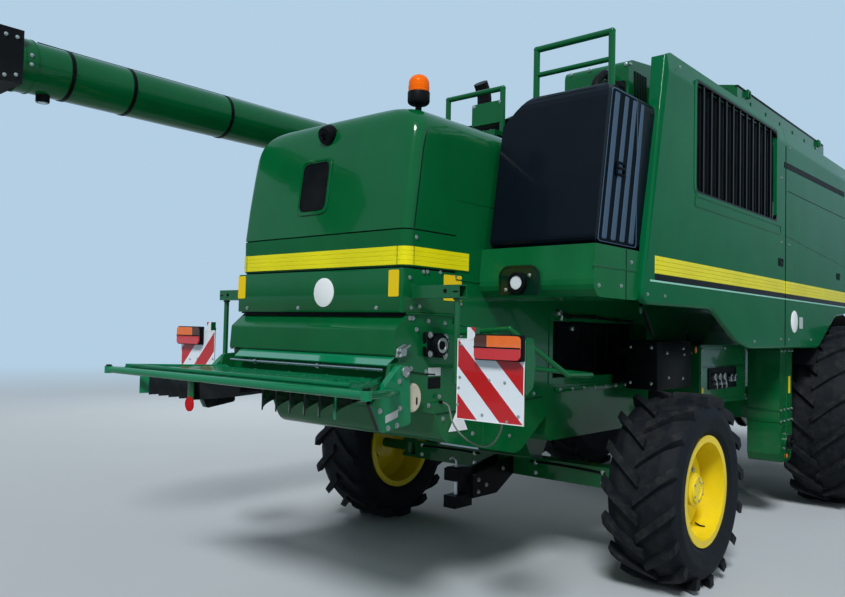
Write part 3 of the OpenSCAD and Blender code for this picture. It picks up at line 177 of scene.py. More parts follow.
def tyre_finish(name, centre, turn_radius):
    """Tyre rubber: near black, dry, with paler dust on the sidewall and soil ground into the tread."""
    made, tree, shader, place, axes = start_finish(name, {"IOR": 1.52, "Specular IOR Level": 0.15})
    local = add(tree, "Mapping", {"Location": (-centre.x, 0, -centre.z)}, {"Vector": place}).outputs[0]
    flat = add(tree, "VectorMath", {"operation": "MULTIPLY", 1: (1, 0, 1)}, {0: local}).outputs[0]
    radius = add(tree, "VectorMath", {"operation": "LENGTH"}, {0: flat}).outputs["Value"]
    tread = add(tree, "MapRange", {"From Min": turn_radius * 0.86, "From Max": turn_radius},
                {"Value": radius}).outputs[0]
    soil = add(tree, "TexNoise", {"Scale": 14.0, "Detail": 8.0, "Roughness": 0.65}, {"Vector": place}).outputs["Fac"]
    lies = add(tree, "MapRange", {"From Min": 0.45, "From Max": 0.75, "To Max": 0.22}, {"Value": soil}).outputs[0]
    film = add(tree, "Math", {"operation": "MULTIPLY_ADD", 2: 0.02}, {0: lies, 1: tread}).outputs[0]
    base = add(tree, "Mix", {"data_type": "RGBA", 6: linear("#0D131A"), 7: linear("#5E5B52")}, {0: film}).outputs[2]
    tree.links.new(base, shader.inputs["Base Color"])
    level = add(tree, "MapRange", {"To Min": 0.55, "To Max": 0.9}, {"Value": soil}).outputs[0]
    tree.links.new(level, shader.inputs["Roughness"])
    # Mould rings of 9 mm pitch on the sidewall
    ring = add(tree, "Math", {"operation": "SINE"}, {
        0: add(tree, "Math", {"operation": "MULTIPLY", 1: 700.0}, {0: radius}).outputs[0]}).outputs[0]
    calm = add(tree, "Math", {"operation": "SUBTRACT", 0: 1.0}, {1: tread}).outputs[0]
    line = both(tree, ring, calm)
    rough = add(tree, "Math", {"operation": "MULTIPLY_ADD", 1: 3.0}, {0: soil, 2: line}).outputs[0]
    bump = add(tree, "Bump", {"Strength": 0.3, "Distance": 0.0012}, {"Height": rough})
    tree.links.new(bump.outputs[0], shader.inputs["Normal"])
    return made


GREEN = "#03562C"
YELLOW = "#DFC61A"
BAND = "#DDD413"
BLACK = "#0B0E11"
PALE = "#B4CFE4"


def side_zone(low, high, rear=-1.90, front=4.2):
    """Mask between two heights and two lengths."""
    return lambda t, a: both(t, between(t, a[2], low, high), between(t, a[0], rear, front))


green = enamel("green sprayed enamel", GREEN)
# Side shields: yellow band, black grille field and, under the band, a dark line that is painted shade in the crease.
# The long sheets are seen at a flat angle, where a heavier coat would turn them grey.
shield_green = enamel("green enamel with the side band", "#035A34", dust=0.0, coat=0.14, specular=0.04, zones=[
    (BAND, side_zone(2.100, 2.2115)),
    ("#070A0C", side_zone(2.700, 3.483, -1.262, 0.4875)),
    ("#0B1014", side_zone(2.059, 2.100))])
# Pale green of the shields' low creases: a painted highlight on the fold
fold_painted_highlight = enamel("bright green fold", "#8FCDB8", dust=0.0)
rim_yellow = enamel("yellow sprayed enamel", YELLOW, dust=0.12, gloss=0.28, waves=0.0)
black_plastic = moulded("black moulded plastic", BLACK)
spout_rubber = moulded("black sheet rubber", "#15181B", rough=0.6, grain=90.0)
dark_steel = moulded("black satin paint", "#090C0F", rough=0.38, grain=40.0, dust=0.05)
bare_steel = metal("ground steel", "#A9ADB0", rough=0.25)
zinc = metal("zinc plated steel", "#B9BCB8", rough=0.35, fine=200.0)
cast = moulded("painted cast iron", "#25282A", rough=0.6, grain=60.0, dust=0.4)
beige = moulded("pale plastic cover", "#C9C3AE", rough=0.5, grain=120.0, dust=0.1)
sticker_yellow = moulded("yellow vinyl sheet", "#E8C61E", rough=0.4, grain=50.0, dust=0.05)
white_sheet = moulded("white vinyl sheet", "#E6EAEC", rough=0.35, grain=50.0, dust=0.03)
orange_glass = moulded("orange reflector", "#D96A1C", rough=0.15, grain=120.0, dust=0.02)
glass_black = moulded("black lens glass", "#090B0D", rough=0.08, grain=30.0, dust=0.0)
beacon_orange = moulded("orange beacon dome", "#F06A0C", rough=0.18, grain=60.0, dust=0.0)
red_glass = moulded("red reflector", "#B3161A", rough=0.15, grain=120.0, dust=0.02)
grey_sheet = moulded("pale grey vinyl sheet", "#AEB4B4", rough=0.4, grain=50.0, dust=0.05)
clear_lens = moulded("clear lamp glass", "#CBD6DF", rough=0.08, grain=90.0, dust=0.0)
seat_cloth = moulded("woven seat cloth", "#23282A", rough=0.85, grain=420.0, dust=0.05)
band_yellow = enamel("yellow moulded band", BAND, dust=0.1, gloss=0.3, waves=0.0)
# The machine's green painted lighter as a painted highlight; the full coat gives it a real gloss
gloss_green_painted_highlight = enamel("polished green strip", "#0A7A50", dust=0.02, gloss=0.04, waves=0.0005, coat=1.0, specular=1.0)
# The machine's green darkened as painted shade in seams, recesses and edge strips
green_painted_seam_shade = enamel("green enamel in a shaded seam", "#04251A", dust=0.1)
tank_face = moulded("rotation moulded tank face", "#030912", rough=0.6, grain=180.0, dust=0.0)
# Pale blue grey of the tank's ribs and rim: painted highlights on the dark tank
tank_painted_highlight = moulded("polished ribs of the tank", "#41566A", rough=0.3, grain=180.0, dust=0.02)
# The machine's green painted lighter, as painted light on the board's lit top
board_green_painted_light = enamel("green enamel of the board face", "#067048", dust=0.05)
cable_grey = moulded("grey cable sheath", "#6F7573", rough=0.5, grain=200.0, dust=0.2)
mirror_face = metal("mirror glass", "#D8DDE0", rough=0.03)

# Board sheet: white retroreflecting film with red slanted stripes
stripes, tree, shader, place, axes = start_finish("striped board sheet", {"Roughness": 0.35, "Coat Weight": 0.3})
side = add(tree, "Math", {"operation": "ABSOLUTE"}, {0: axes[1]}).outputs[0]
lean = add(tree, "Math", {"operation": "ADD"}, {0: side, 1: axes[2]}).outputs[0]
step = add(tree, "Math", {"operation": "MULTIPLY_ADD", 1: 1.5 / 0.423, 2: -2.7765 * 1.5 / 0.423}, {0: lean}).outputs[0]
part = add(tree, "Math", {"operation": "FRACT"}, {0: step}).outputs[0]
white = add(tree, "Math", {"operation": "LESS_THAN", 1: 0.5}, {0: part}).outputs[0]
face = add(tree, "Math", {"operation": "LESS_THAN", 1: -3.2495}, {0: axes[0]}).outputs[0]
cells = add(tree, "TexVoronoi", {"Scale": 220.0}, {"Vector": place}).outputs["Distance"]
worn = add(tree, "Mix", {"data_type": "RGBA", 6: linear("#B80F16"), 7: linear("#DDE6EE")}, {0: white}).outputs[2]
worn = add(tree, "Mix", {"data_type": "RGBA", 6: linear(GREEN)}, {0: face, 7: worn}).outputs[2]
tree.links.new(worn, shader.inputs["Base Color"])
bump = add(tree, "Bump", {"Strength": 0.12, "Distance": 0.0005}, {"Height": cells})
tree.links.new(bump.outputs[0], shader.inputs["Normal"])

# Lamp lenses: orange, with red and dark fields in the tail lamps and clear glass in the work lamps
lens, tree, shader, place, axes = start_finish("moulded lamp lenses", {
    "Roughness": 0.12, "Coat Weight": 0.8, "Transmission Weight": 0.0, "IOR": 1.49})
colour = add(tree, "Mix", {"data_type": "RGBA", 6: linear("#F07818"), 7: linear("#E8641A")}, {
    0: add(tree, "TexNoise", {"Scale": 30.0}, {"Vector": place}).outputs["Fac"]}).outputs[2]
tail = both(tree, between(tree, axes[0], -3.31, -3.24), between(tree, axes[2], 1.5, 1.75))
low = both(tree, tail, between(tree, axes[2], 1.5, 1.638))
colour = tinted(tree, low, colour, "#C8141A")
inner = both(tree, tail, both(tree, between(tree, axes[2], 1.638, 1.75), between(
    tree, add(tree, "Math", {"operation": "ABSOLUTE"}, {0: axes[1]}).outputs[0], 1.2, 1.32)))
colour = tinted(tree, inner, colour, "#4A2210")
rim = both(tree, tail, between(tree, axes[0], -3.262, -3.24))
colour = tinted(tree, rim, colour, "#14171A")
# Skirt lamp, the hood's camera, roof lamps and the two beacons' feet, by a range of X or Y and one of Z
for code, k, low, high, under, over in (
        ("#D8E2EA", 0, -2.72, -2.6, 1.95, 2.06), ("#14171A", 1, -0.03, 0.03, 2.88, 2.96),
        ("#C9D3DA", 0, 4.3, 5.0, 3.66, 3.81), ("#14171A", 0, -3.2, -3.0, 3.0, 3.080),
        ("#14171A", 0, 3.0, 3.3, 3.8, 3.885)):
    field = both(tree, between(tree, axes[k], low, high), between(tree, axes[2], under, over))
    colour = tinted(tree, field, colour, code)
tree.links.new(colour, shader.inputs["Base Color"])
prism = add(tree, "TexWave", {"Scale": 60.0, "bands_direction": "Z"}, {"Vector": place}).outputs["Fac"]
bump = add(tree, "Bump", {"Strength": 0.35, "Distance": 0.0015}, {"Height": prism})
tree.links.new(bump.outputs[0], shader.inputs["Normal"])

# Tinted cab glass: thin, green grey, sharp reflections with a faint film
glass, tree, shader, place, axes = start_finish("tinted cab glass", {
    "Base Color": linear("#8FA8A4"), "IOR": 1.5, "Transmission Weight": 1.0})
smear = add(tree, "TexNoise", {"Scale": 6.0, "Detail": 4.0}, {"Vector": place}).outputs["Fac"]
tree.links.new(add(tree, "MapRange", {"To Min": 0.0, "To Max": 0.05}, {"Value": smear}).outputs[0],
               shader.inputs["Roughness"])

# The fuel tank's node holds the moulded tank and, below 2.2255 m, the green skirt that carries it
tank_finish, tree, shader, place, axes = start_finish("moulded tank on a green skirt", {
    "IOR": 1.5, "Specular IOR Level": 0.1, "Coat Weight": 0.08, "Coat Roughness": 0.1})
skirt = add(tree, "Math", {"operation": "LESS_THAN", 1: 2.2255}, {0: axes[2]}).outputs[0]
cloud = add(tree, "TexNoise", {"Scale": 6.0, "Detail": 7.0}, {"Vector": place}).outputs["Fac"]
bloom = add(tree, "MapRange", {"From Min": 0.45, "From Max": 0.8, "To Max": 0.1}, {"Value": cloud}).outputs[0]
black = add(tree, "Mix", {"data_type": "RGBA", 6: linear("#030A14"), 7: linear("#16202C")}, {0: bloom}).outputs[2]
paint = add(tree, "Mix", {"data_type": "RGBA", 6: linear(GREEN), 7: linear("#146B3A")}, {0: cloud}).outputs[2]
tree.links.new(add(tree, "Mix", {"data_type": "RGBA"}, {0: skirt, 6: black, 7: paint}).outputs[2],
               shader.inputs["Base Color"])
tree.links.new(add(tree, "Mix", {"data_type": "FLOAT", 2: 0.5, 3: 0.2}, {0: skirt}).outputs[0],
               shader.inputs["Roughness"])
pebble = add(tree, "TexNoise", {"Scale": 180.0, "Detail": 2.0}, {"Vector": place}).outputs["Fac"]
calm = add(tree, "Math", {"operation": "SUBTRACT", 0: 1.0}, {1: skirt}).outputs[0]
bump = add(tree, "Bump", {"Strength": 0.2, "Distance": 0.001}, {"Height": both(tree, pebble, calm)})
tree.links.new(bump.outputs[0], shader.inputs["Normal"])

# The spreading board's vanes and the underside between them are black below the green frame
# The frame's green is painted lighter than the machine's green: painted light on the board's lit top
board_painted_light_and_vanes = enamel("green board with black vanes", "#067048", zones=[
    ("#101316", lambda t, a: both(t, between(t, a[2], 1.0, 1.395), between(t, a[1], -0.8, 0.8)))])

front_tyre = {s: tyre_finish("front tyre rubber " + s, at(3840, 0, 925), 0.925) for s in ("left", "right")}
rear_tyre = {s: tyre_finish("rear tyre rubber " + s, at(0, 0, 660), 0.660) for s in ("left", "right")}

finishes = {
    "right_rear_shield": shield_green, "right_front_shield": shield_green,
    "left_shields": shield_green, "fuel_tank": tank_finish, "radiator_box": dark_steel,
    "engine_block": cast, "tow_hitch": dark_steel, "tie_rod": bare_steel,
    "front_tyre_left": front_tyre["left"], "front_tyre_right": front_tyre["right"],
    "rear_tyre_left": rear_tyre["left"], "rear_tyre_right": rear_tyre["right"],
    "front_rim_left": rim_yellow, "front_rim_right": rim_yellow, "rear_rim_left": rim_yellow,
    "rear_rim_right": rim_yellow, "warning_boards": stripes, "lamps": lens, "mirrors": black_plastic,
    "tailboard": board_painted_light_and_vanes, "auger_spout": spout_rubber, "cab_glass": glass,
    "cab_interior": black_plastic, "cab_platform": dark_steel, "lift_barrels": dark_steel,
    "lift_rods": bare_steel,
}
for name, obj in node.items():
    finish = finishes.get(name, green)
    if not obj.material_slots:
        obj.data.materials.append(finish)
    for slot in obj.material_slots:
        slot.material = finish

# Making pieces

# Points nearer than this, in metres, become one
WELD = 0.0002
# How far a pad's cover may swell, in metres
SWELL = 0.024
# Sign of Y, name and way out of the machine's two sides
SIDES = ((1, "left", "y"), (-1, "right", "-y"))


def only(obj):
    """Selects one object and nothing else."""
    if bpy.context.object and bpy.context.object.mode != "OBJECT":
        bpy.ops.object.mode_set(mode="OBJECT")
    bpy.ops.object.select_all(action="DESELECT")
    if obj:
        obj.select_set(True)
        bpy.context.view_layer.objects.active = obj


def pick(obj, kind, test):
    """In edit mode, selects only the faces or edges that pass a test."""
    bpy.ops.mesh.select_mode(type=kind)
    mesh = bmesh.from_edit_mesh(obj.data)
    for part in [*mesh.faces, *mesh.edges, *mesh.verts]:
        part.select = False
    for part in (mesh.faces if kind == "FACE" else mesh.edges):
        if test(part):
            part.select_set(True)
    mesh.select_flush_mode()
    bmesh.update_edit_mesh(obj.data)


def settle(obj, name, finish, body="chassis", smooth=35):
    """Finishes a piece: place into its mesh, shading, finish, body and slot."""
    only(obj)
    bpy.ops.object.transform_apply(location=True, rotation=True, scale=True)
    bpy.ops.object.shade_smooth_by_angle(angle=math.radians(smooth))
    obj.name = name
    obj.data.materials.clear()
    obj.data.materials.append(finish)
    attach(obj, body)
    return obj


def tilt(obj, centre, axis, degrees):
    """Turns a piece about a line through a station."""
    bpy.context.view_layer.update()
    spot = at(*centre)
    obj.matrix_world = (Matrix.Translation(spot) @ Matrix.Rotation(math.radians(degrees), 4, axis)
                        @ Matrix.Translation(-spot) @ obj.matrix_world)
    return obj


def round_corners(points, radius, steps=5):
    """Outline with each corner rounded."""
    out = []
    for i, here in enumerate(points):
        a, b, c = Vector(points[i - 1]), Vector(here), Vector(points[(i + 1) % len(points)])
        cut = min(radius, (a - b).length * 0.45, (c - b).length * 0.45)
        s, e = b + (a - b).normalized() * cut, b + (c - b).normalized() * cut
        out += [tuple(s.lerp(b, k / steps).lerp(b.lerp(e, k / steps), k / steps)) for k in range(steps + 1)]
    return out


def rect(x0, z0, x1, z1, radius=0):
    """Corners of a rectangle, rounded where a radius is given."""
    corners = [(x0, z0), (x1, z0), (x1, z1), (x0, z1)]
    return round_corners(corners, radius) if radius else corners


def ring_of(x, z, a, b, count):
    """Outline of an oval with half axes a and b."""
    return [(x + a * math.cos(2 * math.pi * k / count), z + b * math.sin(2 * math.pi * k / count))
            for k in range(count)]


def plate(low, high, edge=3):
    """Block between two stations with its edges bevelled by some millimetres."""
    only(None)
    a, b = at(*low), at(*high)
    bpy.ops.mesh.primitive_cube_add(size=1, location=(a + b) / 2)
    obj = bpy.context.object
    obj.scale = [abs(v) for v in b - a]
    bpy.ops.object.transform_apply(location=True, rotation=True, scale=True)
    bpy.ops.object.mode_set(mode="EDIT")
    bpy.ops.mesh.select_all(action="SELECT")
    bpy.ops.mesh.bevel(offset=edge / 1000, segments=2, affect="EDGES")
    bpy.ops.object.mode_set(mode="OBJECT")
    return obj


def outline(points, axis, level, fill):
    """Closed outline in a plane square to an axis."""
    only(None)
    bpy.ops.mesh.primitive_circle_add(vertices=len(points), radius=0.1, fill_type=fill)
    obj = bpy.context.object
    for vertex, point in zip(obj.data.vertices, points):
        where = list(point)
        where.insert("xyz".index(axis), level)
        vertex.co = at(*where)
    return obj


def thicken(obj, axis, start, end, edge):
    """Gives an outline its thickness and bevels its rims. Leaves edit mode on."""
    k = "xyz".index(axis)
    move = Vector((0, 0, 0))
    move[k] = (end - start) / 1000
    bpy.ops.mesh.select_all(action="SELECT")
    bpy.ops.mesh.extrude_region_move(TRANSFORM_OT_translate={"value": move})
    bpy.ops.mesh.select_all(action="SELECT")
    bpy.ops.mesh.normals_make_consistent(inside=False)
    if edge:
        pick(obj, "EDGE", lambda e: abs(e.verts[0].co[k] - e.verts[1].co[k]) < 1e-5 and e.calc_face_angle(0) > 1.2)
        bpy.ops.mesh.bevel(offset=edge / 1000, segments=1, affect="EDGES")


def cut_sheet(points, axis, start, end, edge=2, dish=None):
    """Sheet cut to an outline, from start to end along an axis.

    Dish is the width of a rim and the depth of the recess inside it, on the end's side.
    """
    obj = outline(points, axis, start, "NGON")
    bpy.ops.object.mode_set(mode="EDIT")
    thicken(obj, axis, start, end, edge)
    if dish:
        k = "xyz".index(axis)
        level = at(end, 0, 0)[0] if k == 0 else end / 1000
        pick(obj, "FACE", lambda f: abs(f.normal[k]) > 0.9 and abs(f.calc_center_median()[k] - level) < 1e-4)
        bpy.ops.mesh.inset(thickness=dish[0] / 1000)
        sink = Vector((0, 0, 0))
        sink[k] = (dish[1] if start > end else -dish[1]) / 1000
        bpy.ops.mesh.extrude_region_move(TRANSFORM_OT_translate={"value": sink})
    bpy.ops.object.mode_set(mode="OBJECT")
    return obj


def give_wall(obj, thick, offset, even=False):
    """Gives a sheet its thickness in millimetres, inwards for an offset of -1 and outwards for 1."""
    wall = obj.modifiers.new("wall", "SOLIDIFY")
    wall.thickness = thick / 1000
    wall.offset = offset
    wall.use_even_offset = even
    bpy.ops.object.modifier_apply(modifier=wall.name)


def turn_to(axis):
    """Turn that takes Z to an axis such as -x or y."""
    way = Vector([(-1 if axis[0] == "-" else 1) * (axis[-1] == c) for c in "xyz"])
    return way.to_track_quat("Z", "Y").to_matrix().to_4x4()


def skin(rows, wall, out):
    """Sheet through rows of stations with as many in each, its wall laid on the side away from out.

    Out is a direction that the middle of the first row faces.
    """
    only(None)
    across = len(rows[0])
    bpy.ops.mesh.primitive_grid_add(x_subdivisions=across - 1, y_subdivisions=len(rows) - 1, size=1)
    obj = bpy.context.object
    for vertex, point in zip(obj.data.vertices, [p for row in rows for p in row]):
        vertex.co = at(*point)
    bpy.ops.object.mode_set(mode="EDIT")
    bpy.ops.mesh.select_all(action="SELECT")
    bpy.ops.mesh.remove_doubles(threshold=WELD)
    bpy.ops.mesh.normals_make_consistent(inside=False)
    bpy.ops.object.mode_set(mode="OBJECT")
    middle = at(*rows[0][across // 2])
    near = min(obj.data.polygons, key=lambda f: (f.center - middle).length)
    if near.normal.dot(Vector(out)) < 0:
        obj.data.flip_normals()
    if wall:
        give_wall(obj, wall, -1, even=True)
    return obj


def frame_shape(outer, inner, axis, start, end, edge=1.5):
    """Flat frame between two outlines with as many points each."""
    obj = join([outline(outer, axis, start, "NOTHING"), outline(inner, axis, start, "NOTHING")])
    bpy.ops.object.mode_set(mode="EDIT")
    bpy.ops.mesh.select_all(action="SELECT")
    bpy.ops.mesh.bridge_edge_loops()
    thicken(obj, axis, start, end, edge)
    bpy.ops.object.mode_set(mode="OBJECT")
    return obj


def turned(centre, axis, radius, depth, edge=2, dish=None, sides=32, steps=2):
    """Round part that stands on a station and points along an axis such as -x or y.

    Dish is the width of a rim and the depth of the recess inside it.
    """
    only(None)
    bpy.ops.mesh.primitive_cylinder_add(vertices=sides, radius=radius / 1000, depth=depth / 1000,
                                        location=(0, 0, depth / 2000))
    obj = bpy.context.object
    bpy.ops.object.transform_apply(location=True, rotation=True, scale=True)
    bpy.ops.object.mode_set(mode="EDIT")
    pick(obj, "EDGE", lambda e: min(v.co.z for v in e.verts) > depth / 1000 - 1e-5)
    bpy.ops.mesh.bevel(offset=edge / 1000, segments=steps, affect="EDGES")
    if dish:
        pick(obj, "FACE", lambda f: f.normal.z > 0.9 and f.calc_center_median().z > depth / 1000 - 1e-4)
        bpy.ops.mesh.inset(thickness=dish[0] / 1000)
        bpy.ops.mesh.extrude_region_move(TRANSFORM_OT_translate={"value": (0, 0, -dish[1] / 1000)})
    bpy.ops.object.mode_set(mode="OBJECT")
    obj.matrix_world = Matrix.Translation(at(*centre)) @ turn_to(axis)
    return obj


def hoop(centre, axis, radius, thick, width, sides=48):
    """Flat band bent round an axis, from its inner radius out."""
    only(None)
    bpy.ops.mesh.primitive_cylinder_add(vertices=sides, radius=radius / 1000, depth=width / 1000,
                                        end_fill_type="NOTHING")
    obj = bpy.context.object
    give_wall(obj, thick, 1)
    obj.matrix_world = Matrix.Translation(at(*centre)) @ turn_to(axis)
    return obj


def path_of(points, bend):
    """Stations with each corner rounded to a bend."""
    p = [Vector(q) for q in points]
    if not bend:
        return p
    out = [p[0]]
    for a, b, c in zip(p, p[1:], p[2:]):
        u, v = (a - b), (c - b)
        cut = min(bend, u.length * 0.45, v.length * 0.45)
        s, e = b + u.normalized() * cut, b + v.normalized() * cut
        out += [s.lerp(b, t).lerp(b.lerp(e, t), t) for t in (0, 0.2, 0.4, 0.6, 0.8, 1)]
    return out + [p[-1]]


def tube(points, radius, bend=60, facets=2):
    """Round tube or rod through stations, each corner rounded to a bend."""
    data = bpy.data.curves.new("tube", "CURVE")
    data.dimensions = "3D"
    data.bevel_depth = radius / 1000
    data.bevel_resolution = facets
    data.use_fill_caps = True
    places = path_of(points, bend)
    line = data.splines.new("POLY")
    line.points.add(len(places) - 1)
    for knot, place in zip(line.points, places):
        knot.co = (*at(*place), 1)
    obj = bpy.data.objects.new("tube", data)
    bpy.context.scene.collection.objects.link(obj)
    only(obj)
    bpy.ops.object.convert(target="MESH")
    return bpy.context.object


def swollen(low, high, edge):
    """Stuffed pad between two stations: its cover is blown up a little by cloth under pressure."""
    obj = plate(low, high, edge)
    obj.data.remesh_voxel_size = 0.006
    bpy.ops.object.voxel_remesh()
    start = [v.co.copy() for v in obj.data.vertices]
    cloth = obj.modifiers.new("swell", "CLOTH")
    cloth.settings.use_pressure = True
    cloth.settings.uniform_pressure_force = 4
    cloth.settings.effector_weights.gravity = 0
    for step in range(1, 21):
        bpy.context.scene.frame_set(step)
    only(obj)
    bpy.ops.object.modifier_apply(modifier=cloth.name)
    bpy.context.scene.frame_set(1)
    for vertex, old in zip(obj.data.vertices, start):
        moved = vertex.co - old
        if moved.length > SWELL:
            vertex.co = old + moved.normalized() * SWELL
    fine = obj.modifiers.new("fine", "SUBSURF")
    fine.levels = fine.render_levels = 1
    bpy.ops.object.modifier_apply(modifier=fine.name)
    return obj


def eased(points, count):
    """Even stations on one smooth curve through the given ones."""
    p = [Vector(q) for q in points]
    p = [2 * p[0] - p[1]] + p + [2 * p[-1] - p[-2]]
    fine = []
    for a, b, c, d in zip(p, p[1:], p[2:], p[3:]):
        for k in range(20):
            t = k / 20
            fine.append(0.5 * (2 * b + (c - a) * t + (2 * a - 5 * b + 4 * c - d) * t ** 2
                               + (3 * b - 3 * c + d - a) * t ** 3))
    fine.append(p[-2])
    reach = [0.0]
    for a, b in zip(fine, fine[1:]):
        reach.append(reach[-1] + (b - a).length)
    out = []
    k = 0
    for i in range(count):
        goal = reach[-1] * i / (count - 1)
        while k < len(fine) - 2 and reach[k + 1] < goal:
            k += 1
        out.append(tuple(fine[k].lerp(fine[k + 1], (goal - reach[k]) / (reach[k + 1] - reach[k]))))
    return out


def join(pieces):
    """Joins pieces into the first one."""
    only(pieces[0])
    for piece in pieces:
        piece.select_set(True)
    bpy.ops.object.join()
    return bpy.context.object


def hex_bolt():
    """Hexagon head on a washer, 1 unit across its radius, pointing up."""
    only(None)
    bpy.ops.mesh.primitive_cylinder_add(vertices=6, radius=1, depth=0.7, location=(0, 0, 0.55))
    head = bpy.context.object
    bpy.ops.object.mode_set(mode="EDIT")
    pick(head, "FACE", lambda f: f.normal.z > 0.9)
    bpy.ops.mesh.inset(thickness=0.16)
    bpy.ops.transform.translate(value=(0, 0, 0.1))
    bpy.ops.object.mode_set(mode="OBJECT")
    only(None)
    bpy.ops.mesh.primitive_cylinder_add(vertices=14, radius=1.4, depth=0.22, location=(0, 0, 0.11))
    washer = bpy.context.object
    bpy.ops.object.mode_set(mode="EDIT")
    pick(washer, "FACE", lambda f: f.normal.z > 0.9)
    bpy.ops.mesh.inset(thickness=0.12)
    bpy.ops.transform.translate(value=(0, 0, 0.05))
    bpy.ops.object.mode_set(mode="OBJECT")
    made = join([head, washer])
    only(made)
    bpy.ops.object.transform_apply(location=True, rotation=True, scale=True)
    return made


bolt_model = hex_bolt()


def bolts(name, rows, size=8, body="chassis", finish=None):
    """Copies of the bolt at stations. Each row is the way out, such as -y, and its stations."""
    made = []
    for way, places in rows:
        turn = turn_to(way)
        for place in places:
            copy = bolt_model.copy()
            copy.data = bolt_model.data.copy()
            copy.data.transform(Matrix.Translation(at(*place)) @ turn @ Matrix.Scale(size / 1000, 4))
            bpy.context.scene.collection.objects.link(copy)
            made.append(copy)
    return settle(join(made), name, finish or zinc, body)


def line_of(start, end, count):
    """Stations evenly spaced from one to another."""
    a, b = Vector(start), Vector(end)
    return [tuple(a.lerp(b, i / (count - 1))) for i in range(count)]


# Straw hood: its skin with rounded corners and shoulders, the panel below the band and the band round both

# Profile of the rear face, rolled over into the roof
REAR = path_of([(-2147, 0, 2288), (-2087, 0, 2760), (-2037, 0, 3045), (-1500, 0, 3045)], 117)


def hood_rear(z):
    """Rear face of the hood at a height."""
    for a, b in zip(REAR, REAR[1:]):
        if a.z <= z <= b.z and b.z > a.z:
            return a.x + (b.x - a.x) * (z - a.z) / (b.z - a.z)
    return REAR[-2].x if z > 3000 else REAR[0].x


def hood_row(z, rear, half, corner, fronts):
    """Row of stations round the hood at a height, from the left side over the rear face to the right side."""
    corner = min(corner, half * 0.9)
    arc = [(rear + corner * (1 - math.sin(a)), half - corner * (1 - math.cos(a)), z)
           for a in [k * math.pi / 16 for k in range(9)]]
    left = [(x, half, z) for x in fronts] + arc
    face = [(rear, (half - corner) * (1 - k / 4), z) for k in range(1, 8)]
    return left + face + [(x, -y, z) for x, y, z in reversed(left)]


# Stations along the sides: the hood is short below 2500 and long above, with shoulders of radius 170
SHORT, LONG = (-1700, -1780), (-1130, -1415, -1700, -1780)
low_rows = [hood_row(z, hood_rear(z), 752, 56, SHORT) for z in (2288, 2360, 2430, 2500)]
high_rows = [hood_row(z, hood_rear(z), 752, 56 + max(0, z - 2500) * 0.07, LONG)
             for z in (2500, 2570, 2640, 2700, 2745, 2775, 2810, 2855)]
for k in range(1, 11):
    z, half = 2855 + 170 * math.sin(k * math.pi / 20), 582 + 170 * math.cos(k * math.pi / 20)
    high_rows.append(hood_row(z, hood_rear(z), half, 81 + 5 * k, LONG))
for z, half in ((3032, 386), (3038.5, 190), (3045, 0)):
    high_rows.append(hood_row(z, hood_rear(z), half, 130, LONG))
hood = join([skin(low_rows, 0, (-1, 0, 0)), skin(high_rows, 0, (-1, 0, 0))])
bpy.ops.object.mode_set(mode="EDIT")
bpy.ops.mesh.select_all(action="SELECT")
bpy.ops.mesh.remove_doubles(threshold=WELD)
bpy.ops.object.mode_set(mode="OBJECT")
give_wall(hood, 12, -1)
settle(hood, "hood_skin", green)
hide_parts("straw_hood")
under_door = skin([hood_row(z, x, 752 - i, 56 - i, SHORT) for z, x, i in (
    (2072, -2118, 12), (2072, -2142, 0), (2080, -2142.5, 0), (2190, -2145, 0), (2278, -2147, 0), (2280, -2145, 2),
    (2280, -2125, 14))], 3, (0, 0, -1))
settle(under_door, "hood_band_carrier", green)
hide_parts("straw_hood")
panel = skin([hood_row(z, x, half, 16, SHORT) for z, x, half in (
    (1812, -2160, 738), (1812, -2170, 748), (1815, -2172, 750), (1930, -2172, 750), (2056, -2172, 750),
    (2060, -2170, 748), (2060, -2150, 728))], 3, (0, 0, -1))
settle(panel, "hood_panel", green)
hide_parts("straw_hood")
# Black strips behind the door's lower edge, above the panel and below it: painted shade in these gaps
for name, low, high, x, half in (("door_seal", 2262, 2306, -2136, 744), ("panel_seal", 2046, 2086, -2134, 746),
                                 ("panel_gap_shade", 1790, 1830, -2140, 744)):
    shade_strip = skin([hood_row(z, x, half, 50, SHORT) for z in (low, high)], 4, (-1, 0, 0))
    settle(shade_strip, "hood_" + name, black_plastic)
ridges = [(2080, -2)] + [(2081.5 + 27 * k + dz, out) for k in range(4)
                        for dz, out in ((0, 7), (23, 7), (24.5, 5), (25.5, 5))][:-2] + [(2187, -2)]
band = skin([hood_row(z, -2143 - out, 752 + out, 56 + out, (-1580, -1700)) for z, out in ridges], 0, (0, 0, -1))
settle(band, "hood_band", band_yellow, smooth=50)
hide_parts("straw_hood")

# Lower edge of the door, about which the plates lean with it
DOOR_FOOT = (-2147, 0, 2288)
DOOR_LEAN = 7.2
place_plate = cut_sheet(rect(-75, 2420, 215, 2785, 60), "x", -2140, -2156, edge=3, dish=(12, 5))
settle(tilt(place_plate, DOOR_FOOT, "Y", DOOR_LEAN), "bare_emblem_place", green)
face_plate = cut_sheet(rect(-50, 2445, 190, 2760, 50), "x", -2148, -2155, edge=2, dish=(7, 2))
settle(tilt(face_plate, DOOR_FOOT, "Y", DOOR_LEAN), "bare_emblem_plate", dark_steel)
settle(turned((-2172, -114, 1930), "-x", 88, 4, 1, sides=40), "hood_disc", white_sheet)
eye = turned((-2040, 0, 2925), "-x", 62, 70, 24, sides=28, dish=(16, 12))
settle(tilt(eye, (-2075, 0, 2925), "Y", -25), "hood_camera_housing", black_plastic)
settle(turned((-2112, 0, 2917), "-x", 17, 5, 2, sides=20, dish=(3, 2)), "hood_camera_lens", glass_black)
